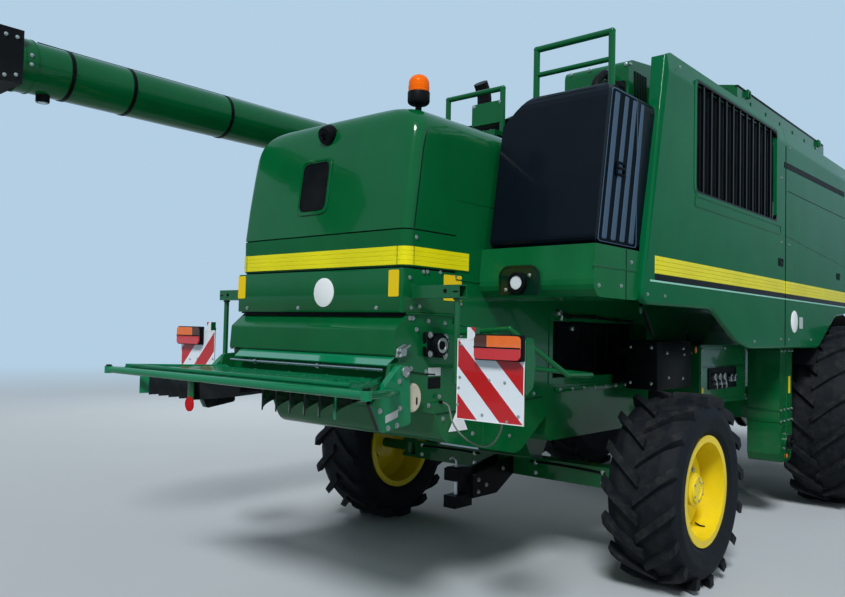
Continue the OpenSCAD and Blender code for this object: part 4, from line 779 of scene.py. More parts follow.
for side, name, way in SIDES:
    y = 706 if side > 0 else -690
    sticker = cut_sheet(rect(y - 39, 1900, y + 39, 2050, 8), "x", -2171, -2175, edge=0.5)
    settle(sticker, "panel_sticker_" + name, sticker_yellow)
# The door's edge strip and the band's corner
for side, name, way in SIDES:
    strip = cut_sheet([(-2078, 2292), (-2084, 2300), (-2020, 2760), (-1992, 2870), (-1987, 2870),
                       (-2014, 2755)], "y", side * 749, side * 754.5, edge=1)
    settle(strip, "hood_edge_strip_" + name, green_painted_seam_shade)
    joints = [plate((-2151.5, side * 690 - 1.5, 2082), (-2148, side * 690 + 1.5, 2186), 0.4),
              plate((-2086, side * 755, 2082), (-2083, side * 760, 2186), 0.4)]
    settle(join(joints), "band_joints_" + name, dark_steel)
bolts("hood_bolts", [
    ("-x", [(-2173, y, 1836) for y in (-560, 120, 640)]),
    ("-y", [(-2060, -752, 2240), (-2106, -750, 2009), (-1990, -750, 2050), (-1955, -750, 2052), (-2090, -750, 1842),
            (-2020, -750, 1851), (-1840, -750, 2056), (-1700, -750, 2040), (-1640, -750, 1880)]),
    ("y", [(-2060, 750, 2240), (-2106, 750, 2009), (-1990, 750, 2050), (-1955, 750, 2052), (-2090, 750, 1842),
           (-2020, 750, 1851), (-1840, 750, 2056), (-1700, 750, 2040), (-1640, 750, 1880)])], size=9)
for side, name, way in SIDES:
    # Sticker behind the stub, and the stub's end seen from behind
    sticker = cut_sheet(rect(-1807, 1893, -1640, 2046, 8), "y", side * 750, side * 753, edge=0.5)
    settle(sticker, "stub_sticker_" + name, sticker_yellow)
    settle(turned((-2085, side * 990, 1932), "-x", 12, 2.5, 0.5, sides=20, dish=(2, 2)), "stub_hole_" + name,
           black_plastic)
    slot = cut_sheet(rect(side * 1062 - 18, 1924, side * 1062 + 18, 1932, 3), "x", -2084, -2087, edge=0.5)
    settle(slot, "stub_slot_" + name, black_plastic)
    flange = plate((-2092, side * 750, 1888), (-2008, side * 757, 1972), 2)
    settle(flange, "stub_flange_" + name, green)
    # Bead of weld round the round tube where it leaves the stub
    ring = turned((-2050, side * 1048, 1893), "-z", 24, 10, 4, sides=24)
    settle(ring, "stub_weld_" + name, green)

# Tall beacon on the hood: stem, cup and ribbed dome over the lamp's own body

stem = turned((-1930, -630, 3000), "z", 19, 52, 3, sides=24)
cup = turned((-1930, -630, 3043), "z", 66, 76, 2, sides=40, dish=(6, 3))
bpy.context.view_layer.objects.active = cup
bpy.ops.object.mode_set(mode="EDIT")
pick(cup, "EDGE", lambda e: max(v.co.z for v in e.verts) < 1e-5)
bpy.ops.mesh.bevel(offset=0.024, segments=4, affect="EDGES")
bpy.ops.object.mode_set(mode="OBJECT")
settle(join([cup, stem]), "beacon_cup", black_plastic)
dome = turned((-1930, -630, 3116), "z", 61, 108, 54, sides=48, steps=9)
ridges = [hoop((-1930, -630, z), "z", 60, 2.2, 5) for z in (3126, 3138, 3150)]
settle(join([dome] + ridges), "beacon_dome", beacon_orange)

# Chopper housing: rotor bearings, seams, plates and latches

for side, name, way in SIDES:
    block_piece = cut_sheet(round_corners([(-1994, 1709), (-1792, 1695), (-1800, 1556), (-1989, 1567)], 22),
                            "y", side * 751, side * 788, edge=7)
    boss = turned((-1893, side * 786, 1632), way, 62, 36, 9, sides=36, dish=(14, 8))
    settle(join([block_piece, boss]), "rotor_bearing_" + name, black_plastic)
    settle(turned((-1893, side * 812, 1632), way, 44, 16, 2, sides=36, dish=(5, 9)), "bearing_ring_" + name, zinc)
    settle(turned((-1893, side * 806, 1632), way, 26, 17, 3, sides=24, dish=(8, 3)), "rotor_end_" + name, dark_steel)
    bolts("bearing_bolts_" + name, [(way, [(-1962, side * 787, 1690), (-1824, side * 787, 1680),
                                           (-1960, side * 787, 1584), (-1826, side * 787, 1576)])], size=14)
    oval = cut_sheet(ring_of(-2102, 1342, 64, 80, 28), "y", side * 768, side * 800, edge=9)
    settle(oval, "oval_cover_" + name, beige)
    for k, z in enumerate((1318, 1342)):
        hole = cut_sheet(ring_of(-2082, z - 12 * k, 7, 17, 12), "y", side * 799, side * 802, edge=0.5)
        settle(hole, "oval_slot_%s_%d" % (name, k), black_plastic)
    for k, (z0, z1) in enumerate(((1454, 1501), (1380, 1446))):
        blank = cut_sheet(rect(-1931, z0, -1820, z1, 5), "y", side * 749, side * 752.5, edge=0.5)
        settle(blank, "blank_plate_%s_%d" % (name, k), black_plastic if k else grey_sheet)
    # Folded flange between the upper and the lower half of the housing
    lip = tube([(-2120, side * 751, 1484), (-1960, side * 751, 1466), (-1872, side * 751, 1462)], 5, 30)
    settle(lip, "housing_seam_" + name, green_painted_seam_shade)
    top_lip = cut_sheet([(-2130, 1803), (-2130, 1812), (-1705, 1812), (-1705, 1803)], "y", side * 748, side * 762,
                        edge=2)
    settle(top_lip, "housing_lip_" + name, green)
    bolts("housing_bolts_" + name, [(way, [
        (-2114, side * 750, 1520), (-2080, side * 750, 1500), (-1950, side * 750, 1480), (-1851, side * 770, 1335),
        (-1921, side * 750, 1285), (-2072, side * 750, 1783), (-1938, side * 750, 1770), (-1788, side * 750, 1759),
        (-2100, side * 750, 1783), (-2040, side * 750, 1720), (-1765, side * 750, 1655)])], size=10)
    # Toggle latch that holds the housing's rear flap
    base = cut_sheet(round_corners([(-2215, 1560), (-2130, 1572), (-2124, 1632), (-2150, 1640), (-2208, 1612)], 10),
                     "y", side * 750, side * 762, edge=2)
    lever = tube([(-2196, side * 772, 1566), (-2178, side * 776, 1604), (-2118, side * 772, 1630)], 7, 14)
    pin = turned((-2190, side * 760, 1600), way, 14, 22, 3, sides=16, dish=(4, 2))
    settle(join([base, lever, pin]), "flap_latch_" + name, zinc)

# Glossy lip over the spreading board, its green painted lighter as a painted highlight, with the rods below it

lip = cut_sheet([(-2206, 1572), (-2264, 1522), (-2262, 1516), (-2200, 1562)], "y", -738, 640, edge=1.5)
settle(lip, "flap_lip", gloss_green_painted_highlight)
rod = tube([(-2248, -700, 1494), (-2248, 700, 1494)], 9)
collars = [turned((-2248, y, 1494), "y", 17, 26, 3, sides=20) for y in (-180, 420)]
settle(join([rod] + collars), "flap_rod", bare_steel)

# Spreading board: edge folds, pegs, plates and reflector

rim_bar = plate((-2798, -1000, 1444), (-2782, 1000, 1462), 3)
settle(rim_bar, "board_rear_fold", board_green_painted_light, "spreader")
for side, name, way in SIDES:
    label = cut_sheet(round_corners([(-2352, 1222), (-2257, 1250), (-2257, 1290), (-2352, 1262)], 4),
                      "y", side * 819, side * 822.5, edge=0.5)
    settle(label, "ear_label_" + name, grey_sheet, "spreader")
    bolts("ear_bolts_" + name, [(way, [(-2242, side * 820, 1295), (-2262, side * 820, 1205),
                                       (-2330, side * 820, 1196), (-2395, side * 820, 1290),
                                       (-2250, side * 820, 1440)])], 11, body="spreader")
    bushing = turned((-2205, side * 820, 1490), way, 30, 12, 3, sides=28, dish=(8, 4))
    settle(bushing, "ear_bush_" + name, zinc, "spreader")
    fold = cut_sheet([(-2275, side * 700), (-2785, side * 1062), (-2785, side * 1080), (-2275, side * 718)],
                     "z", 1444, 1458, 2)
    settle(fold, "board_side_fold_" + name, board_green_painted_light, "spreader")
    peg = turned((-2850, side * 1170, 1438), "z", 18, 12, 4, sides=20, dish=(5, 2))
    settle(peg, "frame_peg_" + name, black_plastic, "spreader")
bolts("board_bolts", [("z", [(x, y, 1444) for x in (-2330, -2500) for y in (-620, -330, 0, 330, 620)]
                       + [(-2700, y, 1444) for y in (-820, -420, 0, 420, 820)])], 9, body="spreader")
bolts("board_under_bolts", [("-z", [(x, y, 1430) for x in (-2420, -2620) for y in (-560, -250, 250, 560)])], 9,
      body="spreader")
ear = plate((-2806, 270, 1275), (-2800, 330, 1432), 2)
disc = turned((-2806, 300, 1262), "-x", 42, 7, 2, sides=28, dish=(5, 2))
settle(ear, "reflector_ear", green, "spreader")
settle(disc, "red_reflector", red_glass, "spreader")

# Warning boards: rim, brackets, bolts and lamp housings

for side, name, way in SIDES:
    y0, y1 = side * 1098.5, side * 1521.5
    low, high = min(y0, y1), max(y0, y1)
    rim = frame_shape(rect(low, 1255, high, 1678), rect(low + 5, 1260, high - 5, 1673), "x", -2100, -2106.5, 1)
    settle(rim, "board_rim_" + name, white_sheet)
    bolts("board_pins_" + name, [("-x", [(-2104, side * y, z) for y, z in (
        (1122, 1645), (1118, 1475), (1112, 1420), (1308, 1470), (1405, 1462), (1105, 1330), (1268, 1290),
        (1490, 1300), (1420, 1268))])], 6)
    case = plate((-2140, side * 1236, 1572), (-2101, side * 1524, 1704), 6)
    settle(case, "lamp_case_" + name, black_plastic)
    bar_piece = plate((-2152.5, side * 1238, 1634), (-2147, side * 1522, 1641), 1.5)
    settle(bar_piece, "lamp_divide_" + name, black_plastic)
    side_plate = cut_sheet(round_corners([(-2098, 1400), (-2030, 1440), (-2010, 1560), (-2030, 1690),
                                          (-2098, 1690)], 16), "y", side * 1526, side * 1520, edge=2)
    settle(side_plate, "board_side_plate_" + name, green)
    arm = tube([(-2050, side * 1188, 1435), (-2072, side * 1230, 1400), (-2094, side * 1300, 1380)], 12, 20)
    settle(arm, "board_arm_" + name, green)
    bolts("board_back_bolts_" + name, [("x", [(-2059, side * 1180, 1450), (-2059, side * 1180, 1690)])], 12)

# Cable loop between the housing and the right board's lamp

loop = [(-1820, -774, 1300), (-1834, -826, 1286), (-1868, -868, 1250), (-1884, -896, 1208),
        (-1880, -930, 1160), (-1862, -985, 1112), (-1850, -1050, 1086), (-1856, -1118, 1088),
        (-1880, -1180, 1116), (-1920, -1238, 1160),
        (-1968, -1290, 1204), (-2018, -1330, 1232), (-2060, -1362, 1262), (-2080, -1392, 1312),
        (-2086, -1404, 1372), (-2086, -1404, 1440), (-2086, -1400, 1520), (-2088, -1396, 1572)]
run_points = eased(loop, 36)
cable = tube(run_points, 5, bend=0)
relief = turned((-1820, -750, 1300), "-y", 9, 26, 5, sides=16)
clip = plate((-2092, -1416, 1470), (-2080, -1390, 1484), 2)
settle(cable, "lamp_cable", cable_grey)
settle(relief, "lamp_cable_gland", black_plastic)
settle(clip, "lamp_cable_clip", zinc)

# Fuel tank: slanted ribs, handle pocket, filler cap and the skirt's lamp

RIBS = [((-1339, -1286), (-1190, -1134)), ((-1232, -1177), (-1065, -1019)),
        ((-1121, -1064), (-959, -911)), ((-1006, -946), (-850, -812))]
# The ribs and the face's rim are painted pale as painted highlights
for k, (low, high) in enumerate(RIBS):
    rib = cut_sheet(round_corners([(low[0], 2262), (low[1], 2262), (high[1], 3148), (high[0], 3148)], 14),
                    "y", -1517, -1526, edge=4)
    settle(rib, "tank_rib_%d" % k, tank_painted_highlight)
groove_piece = cut_sheet(round_corners([(-1378, 2250), (-906, 2250), (-905, 3160), (-1225, 3160)], 30),
                         "y", -1514, -1521.5, edge=2, dish=(14, 1))
settle(groove_piece, "tank_face_edge", tank_face)
outer = round_corners([(-1386, 2244), (-900, 2244), (-899, 3166), (-1228, 3166)], 30)
inner = round_corners([(-1379, 2249), (-906, 2249), (-905, 3160), (-1224, 3160)], 28)
settle(frame_shape(outer, inner, "y", -1516, -1523, 1), "tank_face_rim", tank_painted_highlight)
pocket = cut_sheet(round_corners([(-1190, 2650), (-1080, 2650), (-1070, 2738), (-1176, 2738)], 18),
                   "y", -1520, -1534, edge=5, dish=(10, 12))
settle(pocket, "tank_handle_pocket", tank_face)
grip = tube([(-1182, -1530, 2694), (-1150, -1539, 2694), (-1105, -1539, 2694), (-1074, -1530, 2694)], 8, 20)
settle(grip, "tank_handle_grip", black_plastic)
seam = cut_sheet(round_corners([(-1514, 2250), (-1514, 3110), (-1440, 3190), (-990, 3190), (-800, 3010),
                                (-800, 2250)], 30), "x", -1395, -1401, edge=2, dish=(16, 2))
settle(tilt(seam, (-1418, 0, 2226), "Y", 9.1), "tank_back_edge", tank_face)
cap = turned((-880, -1330, 3268), "z", 78, 34, 6, sides=36, dish=(20, 8))
knob = plate((-936, -1339, 3286), (-824, -1321, 3308), 6)
ribs = [tilt(plate((-806, -1334, 3272), (-799, -1326, 3298), 1), (-880, -1330, 3280), "Z", a)
        for a in range(0, 360, 20)]
settle(join([cap, knob] + ribs), "filler_cap", black_plastic)
strap = tube([(-952, -1330, 3262), (-985, -1330, 3240), (-1010, -1345, 3216)], 4, 14)
settle(strap, "filler_cap_strap", spout_rubber)
lamp_case = turned((-1474, -1050, 2010), "-x", 62, 30, 8, sides=36, dish=(12, 16))
settle(lamp_case, "skirt_lamp_case", black_plastic)
glass_disc = turned((-1488, -1050, 2010), "-x", 47, 9, 4, sides=36, dish=(4, 1))
settle(glass_disc, "skirt_lamp_lens", clear_lens)
recess = cut_sheet(round_corners([(-1200, 1935), (-905, 1935), (-905, 2075), (-950, 2115), (-1155, 2115),
                                  (-1200, 2075)], 24), "x", -1466, -1474, edge=3, dish=(8, 5))
settle(recess, "skirt_lamp_recess", green_painted_seam_shade)
bolts("skirt_bolts", [("-x", [(-1475, -1128, 2052), (-1475, -962, 1968)]),
                      ("-y", [(-1400, -1540, 1990), (-1130, -1540, 2000), (-1000, -1540, 2150)])], 9)
lip = cut_sheet([(-1475, 2096), (-1475, 2104), (-930, 2104), (-930, 2096)], "y", -1539, -1544, edge=1.5)
settle(lip, "skirt_crease", green)
side_seam = cut_sheet(rect(-1070, 1928, -1062, 2222), "y", -1539, -1543, edge=1)
settle(side_seam, "skirt_seam", green_painted_seam_shade)

# Right side shields: band ribs, groove, creases, grille frame, sill and blank plates

# Outer face of the right shields
SHIELD = -1575
for k, z in enumerate((2101, 2128.5, 2156, 2183.5)):
    rib = cut_sheet(rect(-748, z, 1899, z + 24.5), "y", SHIELD + 1, SHIELD - 3, edge=1.5)
    settle(rib, "rear_band_rib_%d" % k, band_yellow, "rear_shield")
    rib = cut_sheet(rect(1923, z, 4270, z + 24.5), "y", SHIELD + 1, SHIELD - 3, edge=1.5)
    settle(rib, "front_band_rib_%d" % k, band_yellow, "front_shield")


def rolled_edge(corners, bend, face, side, deep):
    """Edge of a shield rolled inwards: corners of its outline in X and Z, the outline on the roll's right."""
    places = path_of([(x, 0, z) for x, z in corners], bend)
    rows = []
    for step in range(6):
        angle = min(step, 4) * math.pi / 8
        row = []
        for k, here in enumerate(places):
            along = places[min(k + 1, len(places) - 1)] - places[max(k - 1, 0)]
            out = Vector((-along.z, 0, along.x)).normalized()
            lean = max(0.0, here.z - 3426) * 75 / 320 if side < 0 else 0
            depth = 18 * (1 - math.cos(angle)) if step < 5 else deep(here.x, here.z)
            spot = here + out * 18 * math.sin(angle)
            row.append((spot.x, side * (face - lean - depth), spot.z))
        rows.append(row)
    return rows


rear_edge = [(1903, 1638), (1000, 1638), (700, 1700), (210, 1922), (-914, 1922), (-544, 3535)]
front_edge = [(4300, 3535), (4300, 2080), (3990, 1985), (3600, 1960), (2960, 1638), (1916, 1638)]
for name, corners, side, body, deep in (
        ("rear_right", rear_edge, -1, "rear_shield",
         lambda x, z: 30 if x > -500 and z < 2000 else 40 if z < 2350 else min(100, 40 + (z - 2350) * 0.13)),
        ("front_right", front_edge, -1, "front_shield", lambda x, z: 30),
        ("rear_left", [(-420, 1922), (-914, 1922), (-640, 3130)], 1, "chassis", lambda x, z: 46)):
    roll = skin(rolled_edge(corners, 90, 1575.5, side, deep), 4, (0, side, 0))
    settle(roll, "rolled_edge_" + name, shield_green, body)
edge_strip = cut_sheet([(1854, 3205), (1905, 3207), (1905, 3258), (1854, 3255)], "y", SHIELD + 1, SHIELD - 4, edge=1)
settle(edge_strip, "rear_dark_strip", black_plastic, "rear_shield")
edge_strip = cut_sheet([(1917, 3208), (3950, 3240), (3950, 3292), (1917, 3259)], "y", SHIELD + 1, SHIELD - 4, edge=1)
settle(edge_strip, "front_dark_strip", black_plastic, "front_shield")
# The front groove is a black strip: painted shade in the groove
# The low creases are painted pale green as a painted highlight on the fold
for name, row, body in (
        ("front_groove_shade", rect(1953, 3008, 3995, 3013), "front_shield"),
        ("front_crease", [(1917, 2607), (4090, 2478), (4090, 2489), (1917, 2618)], "front_shield"),
        ("rear_low_crease", rect(-816, 2046, 1905, 2058), "rear_shield"),
        ("front_low_crease", rect(1917, 2046, 4200, 2058), "front_shield"),
        ("shield_seal", rect(1893, 1645, 1905, 3400), "rear_shield"),
        ("rear_sill", rect(-131, 2600, 1770, 2608), "rear_shield")):
    crease = cut_sheet(row, "y", SHIELD + 1, SHIELD - 3.5, edge=1.6)
    settle(crease, name, fold_painted_highlight if "low" in name else black_plastic if name in ("front_groove_shade", "shield_seal")
           else shield_green, body)
sill = cut_sheet(round_corners([(-131, 2604), (1770, 2604), (1760, 2684), (-118, 2684)], 26),
                 "y", SHIELD + 1, SHIELD - 5, edge=2, dish=(8, 4))
settle(sill, "grille_sill", shield_green, "rear_shield")
frame_piece = frame_shape(rect(-150, 2676, 1680, 3496, 90),
                          rect(-112, 2714, 1638, 3468, 60),
                          "y", SHIELD - 4, SHIELD + 4)
settle(frame_piece, "grille_frame", shield_green, "rear_shield")
screen = cut_sheet(rect(-108, 2720, 1634, 3462, 50), "y", -1541, -1546, 1)
settle(screen, "grille_screen", dark_steel, "rear_shield")
blank = turned((2166, SHIELD, 1860), "-y", 99, 4, 1, sides=44)
settle(blank, "shield_disc", white_sheet, "front_shield")
blank = cut_sheet(rect(2325, 1800, 2425, 1905, 5), "y", SHIELD + 1, SHIELD - 3, edge=0.5)
settle(blank, "shield_label", grey_sheet, "front_shield")
for name, x, body in (("rear", 1700, "rear_shield"), ("front", 3640, "front_shield")):
    cup = cut_sheet(rect(x, 2330, x + 130, 2400, 20), "y", SHIELD + 1, SHIELD - 6, edge=3, dish=(9, 5))
    paddle = plate((x + 20, SHIELD - 8, 2345), (x + 110, SHIELD - 2, 2372), 2)
    settle(join([cup, paddle]), "shield_latch_" + name, black_plastic, body)
for name, places in (
        ("rear_shield", ((-850, 1965), (-600, 1965), (-400, 3490), (1780, 3100), (1780, 2540), (1780, 1700),
                         (1100, 1680))),
        ("front_shield", ((2000, 2540), (2000, 1700), (2700, 1700), (4220, 2130), (4220, 3400), (2000, 3400)))):
    bolts(name + "_bolts", [("-y", [(x, SHIELD, z) for x, z in places])], 8, body=name)
hook = cut_sheet(round_corners([(-395, 1905), (-340, 1905), (-352, 1858), (-384, 1858)], 8), "y", -1300, -1306, 1.5)
settle(hook, "hanging_bracket", green)
strut = tube([(-355, -1300, 1925), (-190, -1300, 1735)], 14, 10)
strut_rod = tube([(-200, -1300, 1747), (-150, -1300, 1690)], 7, 10)
settle(join([strut, strut_rod]), "brake_strut", dark_steel)

# Side of the threshing body: dark recess, sill bolts, black box, valves and reflectors

for side, name, way in SIDES:
    # Black sheet at the back of the pocket: painted shade of the deep recess
    inner = cut_sheet(rect(-588, 1402, 898, 1798), "y", side * 592, side * 600, edge=1)
    settle(inner, "rotor_screen_" + name, dark_steel)
    bars = [tube([(-580, side * 604, z), (890, side * 604, z)], 5, facets=1) for z in range(1430, 1790, 44)]
    bars += [tube([(x, side * 610, 1404), (x, side * 610, 1796)], 7, facets=1) for x in range(-480, 890, 190)]
    settle(join(bars), "rotor_grate_" + name, dark_steel)
    rim_piece = frame_shape(rect(-640, 1350, 950, 1850), rect(-592, 1399, 902, 1801), "y", side * 748, side * 756)
    settle(rim_piece, "pocket_rim_" + name, green)
    sill_bar = plate((-560, side * 748, 1298), (900, side * 764, 1330), 4)
    settle(sill_bar, "body_sill_" + name, green)
    bolts("sill_bolts_" + name, [(way, line_of((-500, side * 764, 1314), (840, side * 764, 1314), 9))], 11)
    crease = cut_sheet([(-1700, 2018), (1500, 1966), (1500, 1974), (-1700, 2026)], "y", side * 749, side * 756, 2)
    settle(crease, "body_crease_" + name, green)
    pipe = tube([(-540, side * 768, 1850), (-400, side * 790, 1832), (-100, side * 786, 1840),
                 (300, side * 778, 1822), (620, side * 768, 1818)], 11, 60)
    settle(pipe, "body_pipe_" + name, black_plastic)
    fitting = turned((-535, side * 749, 1858), way, 24, 34, 5, sides=20, dish=(8, 6))
    elbow = tube([(-535, side * 772, 1858), (-535, side * 792, 1842), (-536, side * 786, 1806)], 8, 14)
    cock = turned((-350, side * 749, 1748), way, 18, 26, 4, sides=6, dish=(6, 5))
    settle(join([fitting, elbow, cock]), "body_fittings_" + name, zinc)
    clamps = [plate((x, side * 749, z - 14), (x + 22, side * 803, z + 16), 3) for x, z in (
        (-420, 1833), (-80, 1838), (310, 1822))]
    settle(join(clamps), "pipe_clamps_" + name, dark_steel)
    if side < 0:
        cover = plate((230, side * 900, 1300), (880, side * 1156, 1670), 14)
        reflector = cut_sheet(ring_of(960, 1600, 17, 28, 20), "y", side * 1154, side * 1161, edge=2)
        settle(cover, "side_box_right", dark_steel)
        bolts("side_box_bolts", [("-y", [(399, -1156, 1578), (708, -1156, 1614), (726, -1156, 1566),
                                         (434, -1156, 1390), (700, -1156, 1376)]),
                                 ("-x", [(229, y, z) for y in (-940, -1110) for z in (1350, 1620)])], 9)
        foot = plate((300, -905, 1340), (820, -748, 1400), 6)
        top_foot = plate((300, -905, 1560), (820, -748, 1620), 6)
        settle(join([foot, top_foot]), "side_box_arms", dark_steel)
        settle(reflector, "amber_reflector_valves", orange_glass)

# Liner of the right wheel arch, hung from the body by three straps
arcs = [math.radians(a) for a in range(60, 151, 6)]
rows = [[(3840 + 1062 * math.cos(a), y, 925 + 1062 * math.sin(a)) for a in arcs] for y in (-1556, -1500, -1300, -1110)]
liner = skin(rows, 4, (0, 0, 1))
straps = [plate((x, -1108, z), (x + 50, -752, z + 12), 2) for x, z in ((3200, 1770), (3700, 1972), (4200, 1915))]
settle(join([liner] + straps), "arch_liner_right", spout_rubber)

# Outer face of the valve box
VALVES = -1155
door = frame_shape(rect(1066, 1150, 2130, 1624, 26), rect(1090, 1174, 2106, 1600, 18), "y", VALVES + 2, VALVES - 6)
settle(door, "valve_box_frame", green)
line_piece = cut_sheet(rect(1070, 1448, 2126, 1456), "y", VALVES + 1, VALVES - 5, edge=1)
settle(line_piece, "valve_box_seam", green_painted_seam_shade)
hollow = cut_sheet(rect(1230, 1262, 1880, 1444, 10), "y", VALVES + 1, VALVES - 10, edge=3, dish=(10, 8))
settle(hollow, "valve_recess", black_plastic)
valves = []
for x in (1345, 1455, 1565):
    valves.append(turned((x, VALVES - 3, 1368), "-y", 30, 24, 4, sides=24, dish=(8, 6)))
    valves.append(turned((x, VALVES - 3, 1312), "-y", 16, 34, 4, sides=6, dish=(5, 5)))
    valves.append(tube([(x, VALVES - 24, 1352), (x + 8, VALVES - 36, 1300), (x + 10, VALVES - 30, 1270)], 6, 20))
settle(join(valves), "oil_valves", zinc)
quick = [turned((x, VALVES - 3, 1350), "-y", 34, 40, 5, sides=28, dish=(9, 16)) for x in (1690, 1790)]
settle(join(quick), "quick_couplers", bare_steel)
blank = cut_sheet(rect(1085, 1236, 1128, 1284, 4), "y", VALVES + 1, VALVES - 3, edge=0.5)
settle(blank, "valve_sticker", sticker_yellow)
bolts("valve_box_bolts", [("-y", [(1078, VALVES - 6, z) for z in (1180, 1400, 1600)]
                           + [(2118, VALVES - 6, z) for z in (1180, 1400, 1600)] + [(1600, VALVES - 6, 1612)]),
                          ("-x", [(1050, y, z) for y in (-840, -1080) for z in (1220, 1570)])], 9)

# Clean grain elevator: leg seams, boot, chain cover and bolts

# Outer face of the elevator's leg
LEG = -1420
for k, z in enumerate((941, 1044, 1590, 2100)):
    seam = plate((2272, LEG - 6, z - 9), (2658, -1124, z + 9), 3)
    settle(seam, "elevator_joint_%d" % k, green)
leg = cut_sheet(rect(2461, 700, 2469, 2345), "y", LEG + 1, LEG - 8, edge=2)
settle(leg, "elevator_rib", green)
boot = cut_sheet(round_corners([(2300, 640), (2340, 580), (2590, 580), (2630, 640), (2630, 900), (2300, 900)], 30),
                 "y", LEG + 1, LEG - 7, edge=2, dish=(10, 4))
settle(boot, "elevator_boot_door", green)
hub = turned((2465, LEG - 26, 745), "-y", 66, 26, 6, sides=36, dish=(16, 10))
shaft = turned((2465, LEG - 40, 745), "-y", 22, 34, 4, sides=20, dish=(7, 3))
settle(join([hub, shaft]), "elevator_bearing", dark_steel)
reflector = cut_sheet(ring_of(2470, 610, 20, 20, 20), "y", LEG - 7, LEG - 14, edge=2)
settle(reflector, "amber_reflector_boot", orange_glass)
blank = cut_sheet(rect(2540, 1190, 2592, 1350, 5), "y", LEG + 1, LEG - 3, edge=0.5)
settle(blank, "elevator_sticker", sticker_yellow)
bolts("elevator_bolts", [("-y", [(x, LEG - 6, z) for z in (941, 1044, 1590, 2100) for x in (2295, 2400, 2530, 2635)]
                          + [(2465 + 92 * math.cos(a), LEG - 7, 745 + 92 * math.sin(a))
                             for a in (0.6, 2.2, 3.8, 5.4)])], 9)

# Wheels: nuts on a plain ring, hub cap and valve

for side, name, way in SIDES:
    for x, y, z, half, hub_top, pitch, nut, body in (
            (3840, 1530, 925, 620 * 0.4 + 14.3, 90, 190, 19, "front_wheel_" + name),
            (0, 1410, 660, 500 * 0.4 + 14.3, 70, 160, 16, "rear_wheel_" + name)):
        place_name = body.replace("_wheel", "")
        face = y + half - 150
        ring = turned((x, side * (face - 1), z), way, pitch + 34, 5, 1.5, sides=56, dish=(pitch - 66, 4))
        settle(ring, place_name + "_nut_ring", rim_yellow, body)
        count = 10 if z > 800 else 8
        bolts(place_name + "_nuts", [(way, [(x + pitch * math.sin(2 * math.pi * k / count), side * (face + 3.5),
                                             z + pitch * math.cos(2 * math.pi * k / count)) for k in range(count)])],
              nut, body=body)
        top = face + hub_top + 10
        cap = turned((x, side * (top - 1), z), way, 92, 16, 6, sides=44, dish=(26, 7))
        settle(cap, place_name + "_hub_cap", rim_yellow, body)
        bolts(place_name + "_cap_bolts", [(way, [(x + 78 * math.sin(a), side * (top + 14), z + 78 * math.cos(a))
                                                 for a in [k * math.pi / 3 for k in range(6)]])], 7, body=body)
        radius = (432 if z > 800 else 352) - 40
        stem = tube([(x + radius * 0.5, side * (face + 8), z - radius * 0.84),
                     (x + radius * 0.53, side * (face + 40), z - radius * 0.9),
                     (x + radius * 0.54, side * (face + 74), z - radius * 0.9)], 6, 12)
        settle(stem, place_name + "_valve", black_plastic, body)

# Folded auger: cable with clamps, end ring and bolts

# Side and height of the folded auger's axis, and the top of its tube
AUGER = 1655
AUGER_Z = 3385
auger_top = AUGER_Z + 168
# The cable lies along the top of the tube and wanders a few millimetres
run = [(x, AUGER + aside, auger_top + up) for x, aside, up in (
    (3100, 0, 4), (2700, 0, 5), (2300, 0, 4), (1800, -4, 5), (1200, 3, 4), (600, 0, 5), (0, -4, 4), (-600, 0, 5),
    (-1200, 4, 4), (-1800, 0, 5), (-2400, -3, 4), (-2900, 0, 5), (-3180, -6, 6))]
settle(tube(run, 9, 100), "auger_cable", black_plastic, "auger")
for k, x in enumerate((2560, 1500, 420, -660, -1740, -2560, -3000)):
    strap = hoop((x, AUGER, AUGER_Z), "x", 169, 3, 26)
    stud = turned((x, AUGER - 171, AUGER_Z), "-y", 9, 12, 2, sides=6, dish=(3, 2))
    settle(join([strap, stud]), "auger_strap_%d" % k, dark_steel, "auger")
for k, (x, r, w) in enumerate(((-3322, 182, 14), (-3238, 178, 8), (2900, 178, 18), (330, 176, 16))):
    settle(hoop((x, AUGER, AUGER_Z), "x", r - 10, 10, w), "auger_ring_%d" % k, green, "auger")
bolts("auger_bolts", [(way, [(-3280, y, AUGER_Z + up) for up in (30, -30)])
                      for way, y in (("-y", AUGER - 174), ("y", AUGER + 174))], 9, body="auger")
spout_bolts = []
for x in (-3372, -3440, -3510, -3580):
    spout_bolts.append((x, AUGER - 172, AUGER_Z + 120 - (x + 3372) * 0.02))
    spout_bolts.append((x, AUGER - 172, AUGER_Z - 120 + (x + 3372) * 0.25))
bolts("spout_bolts", [("-y", spout_bolts), ("y", [(x, 2 * AUGER - y, z) for x, y, z in spout_bolts])], 9, body="auger")
lamp_arm = plate((-3150, AUGER - 30, 3205), (-3110, AUGER + 30, 3222), 4)
lamp_cup = turned((-3130, AUGER, 3222), "-z", 44, 52, 10, sides=28, dish=(6, 5))
settle(join([lamp_arm, lamp_cup]), "auger_lamp", black_plastic, "auger")
settle(turned((-3130, AUGER, 3176), "-z", 37, 6, 2, sides=28), "auger_lamp_lens", clear_lens, "auger")
rest_arm = plate((-470, 1480, 3120), (-410, 1590, 3150), 5)
rest_pad = cut_sheet([(1500, 3210), (1520, 3150), (1590, 3150), (1560, 3222)], "x", -470, -410, 4)
settle(rest_pad, "auger_rest_pad", spout_rubber)
settle(rest_arm, "auger_rest_arm", dark_steel)

# Engine deck: air cleaner vents, pipes, rail plate, steps

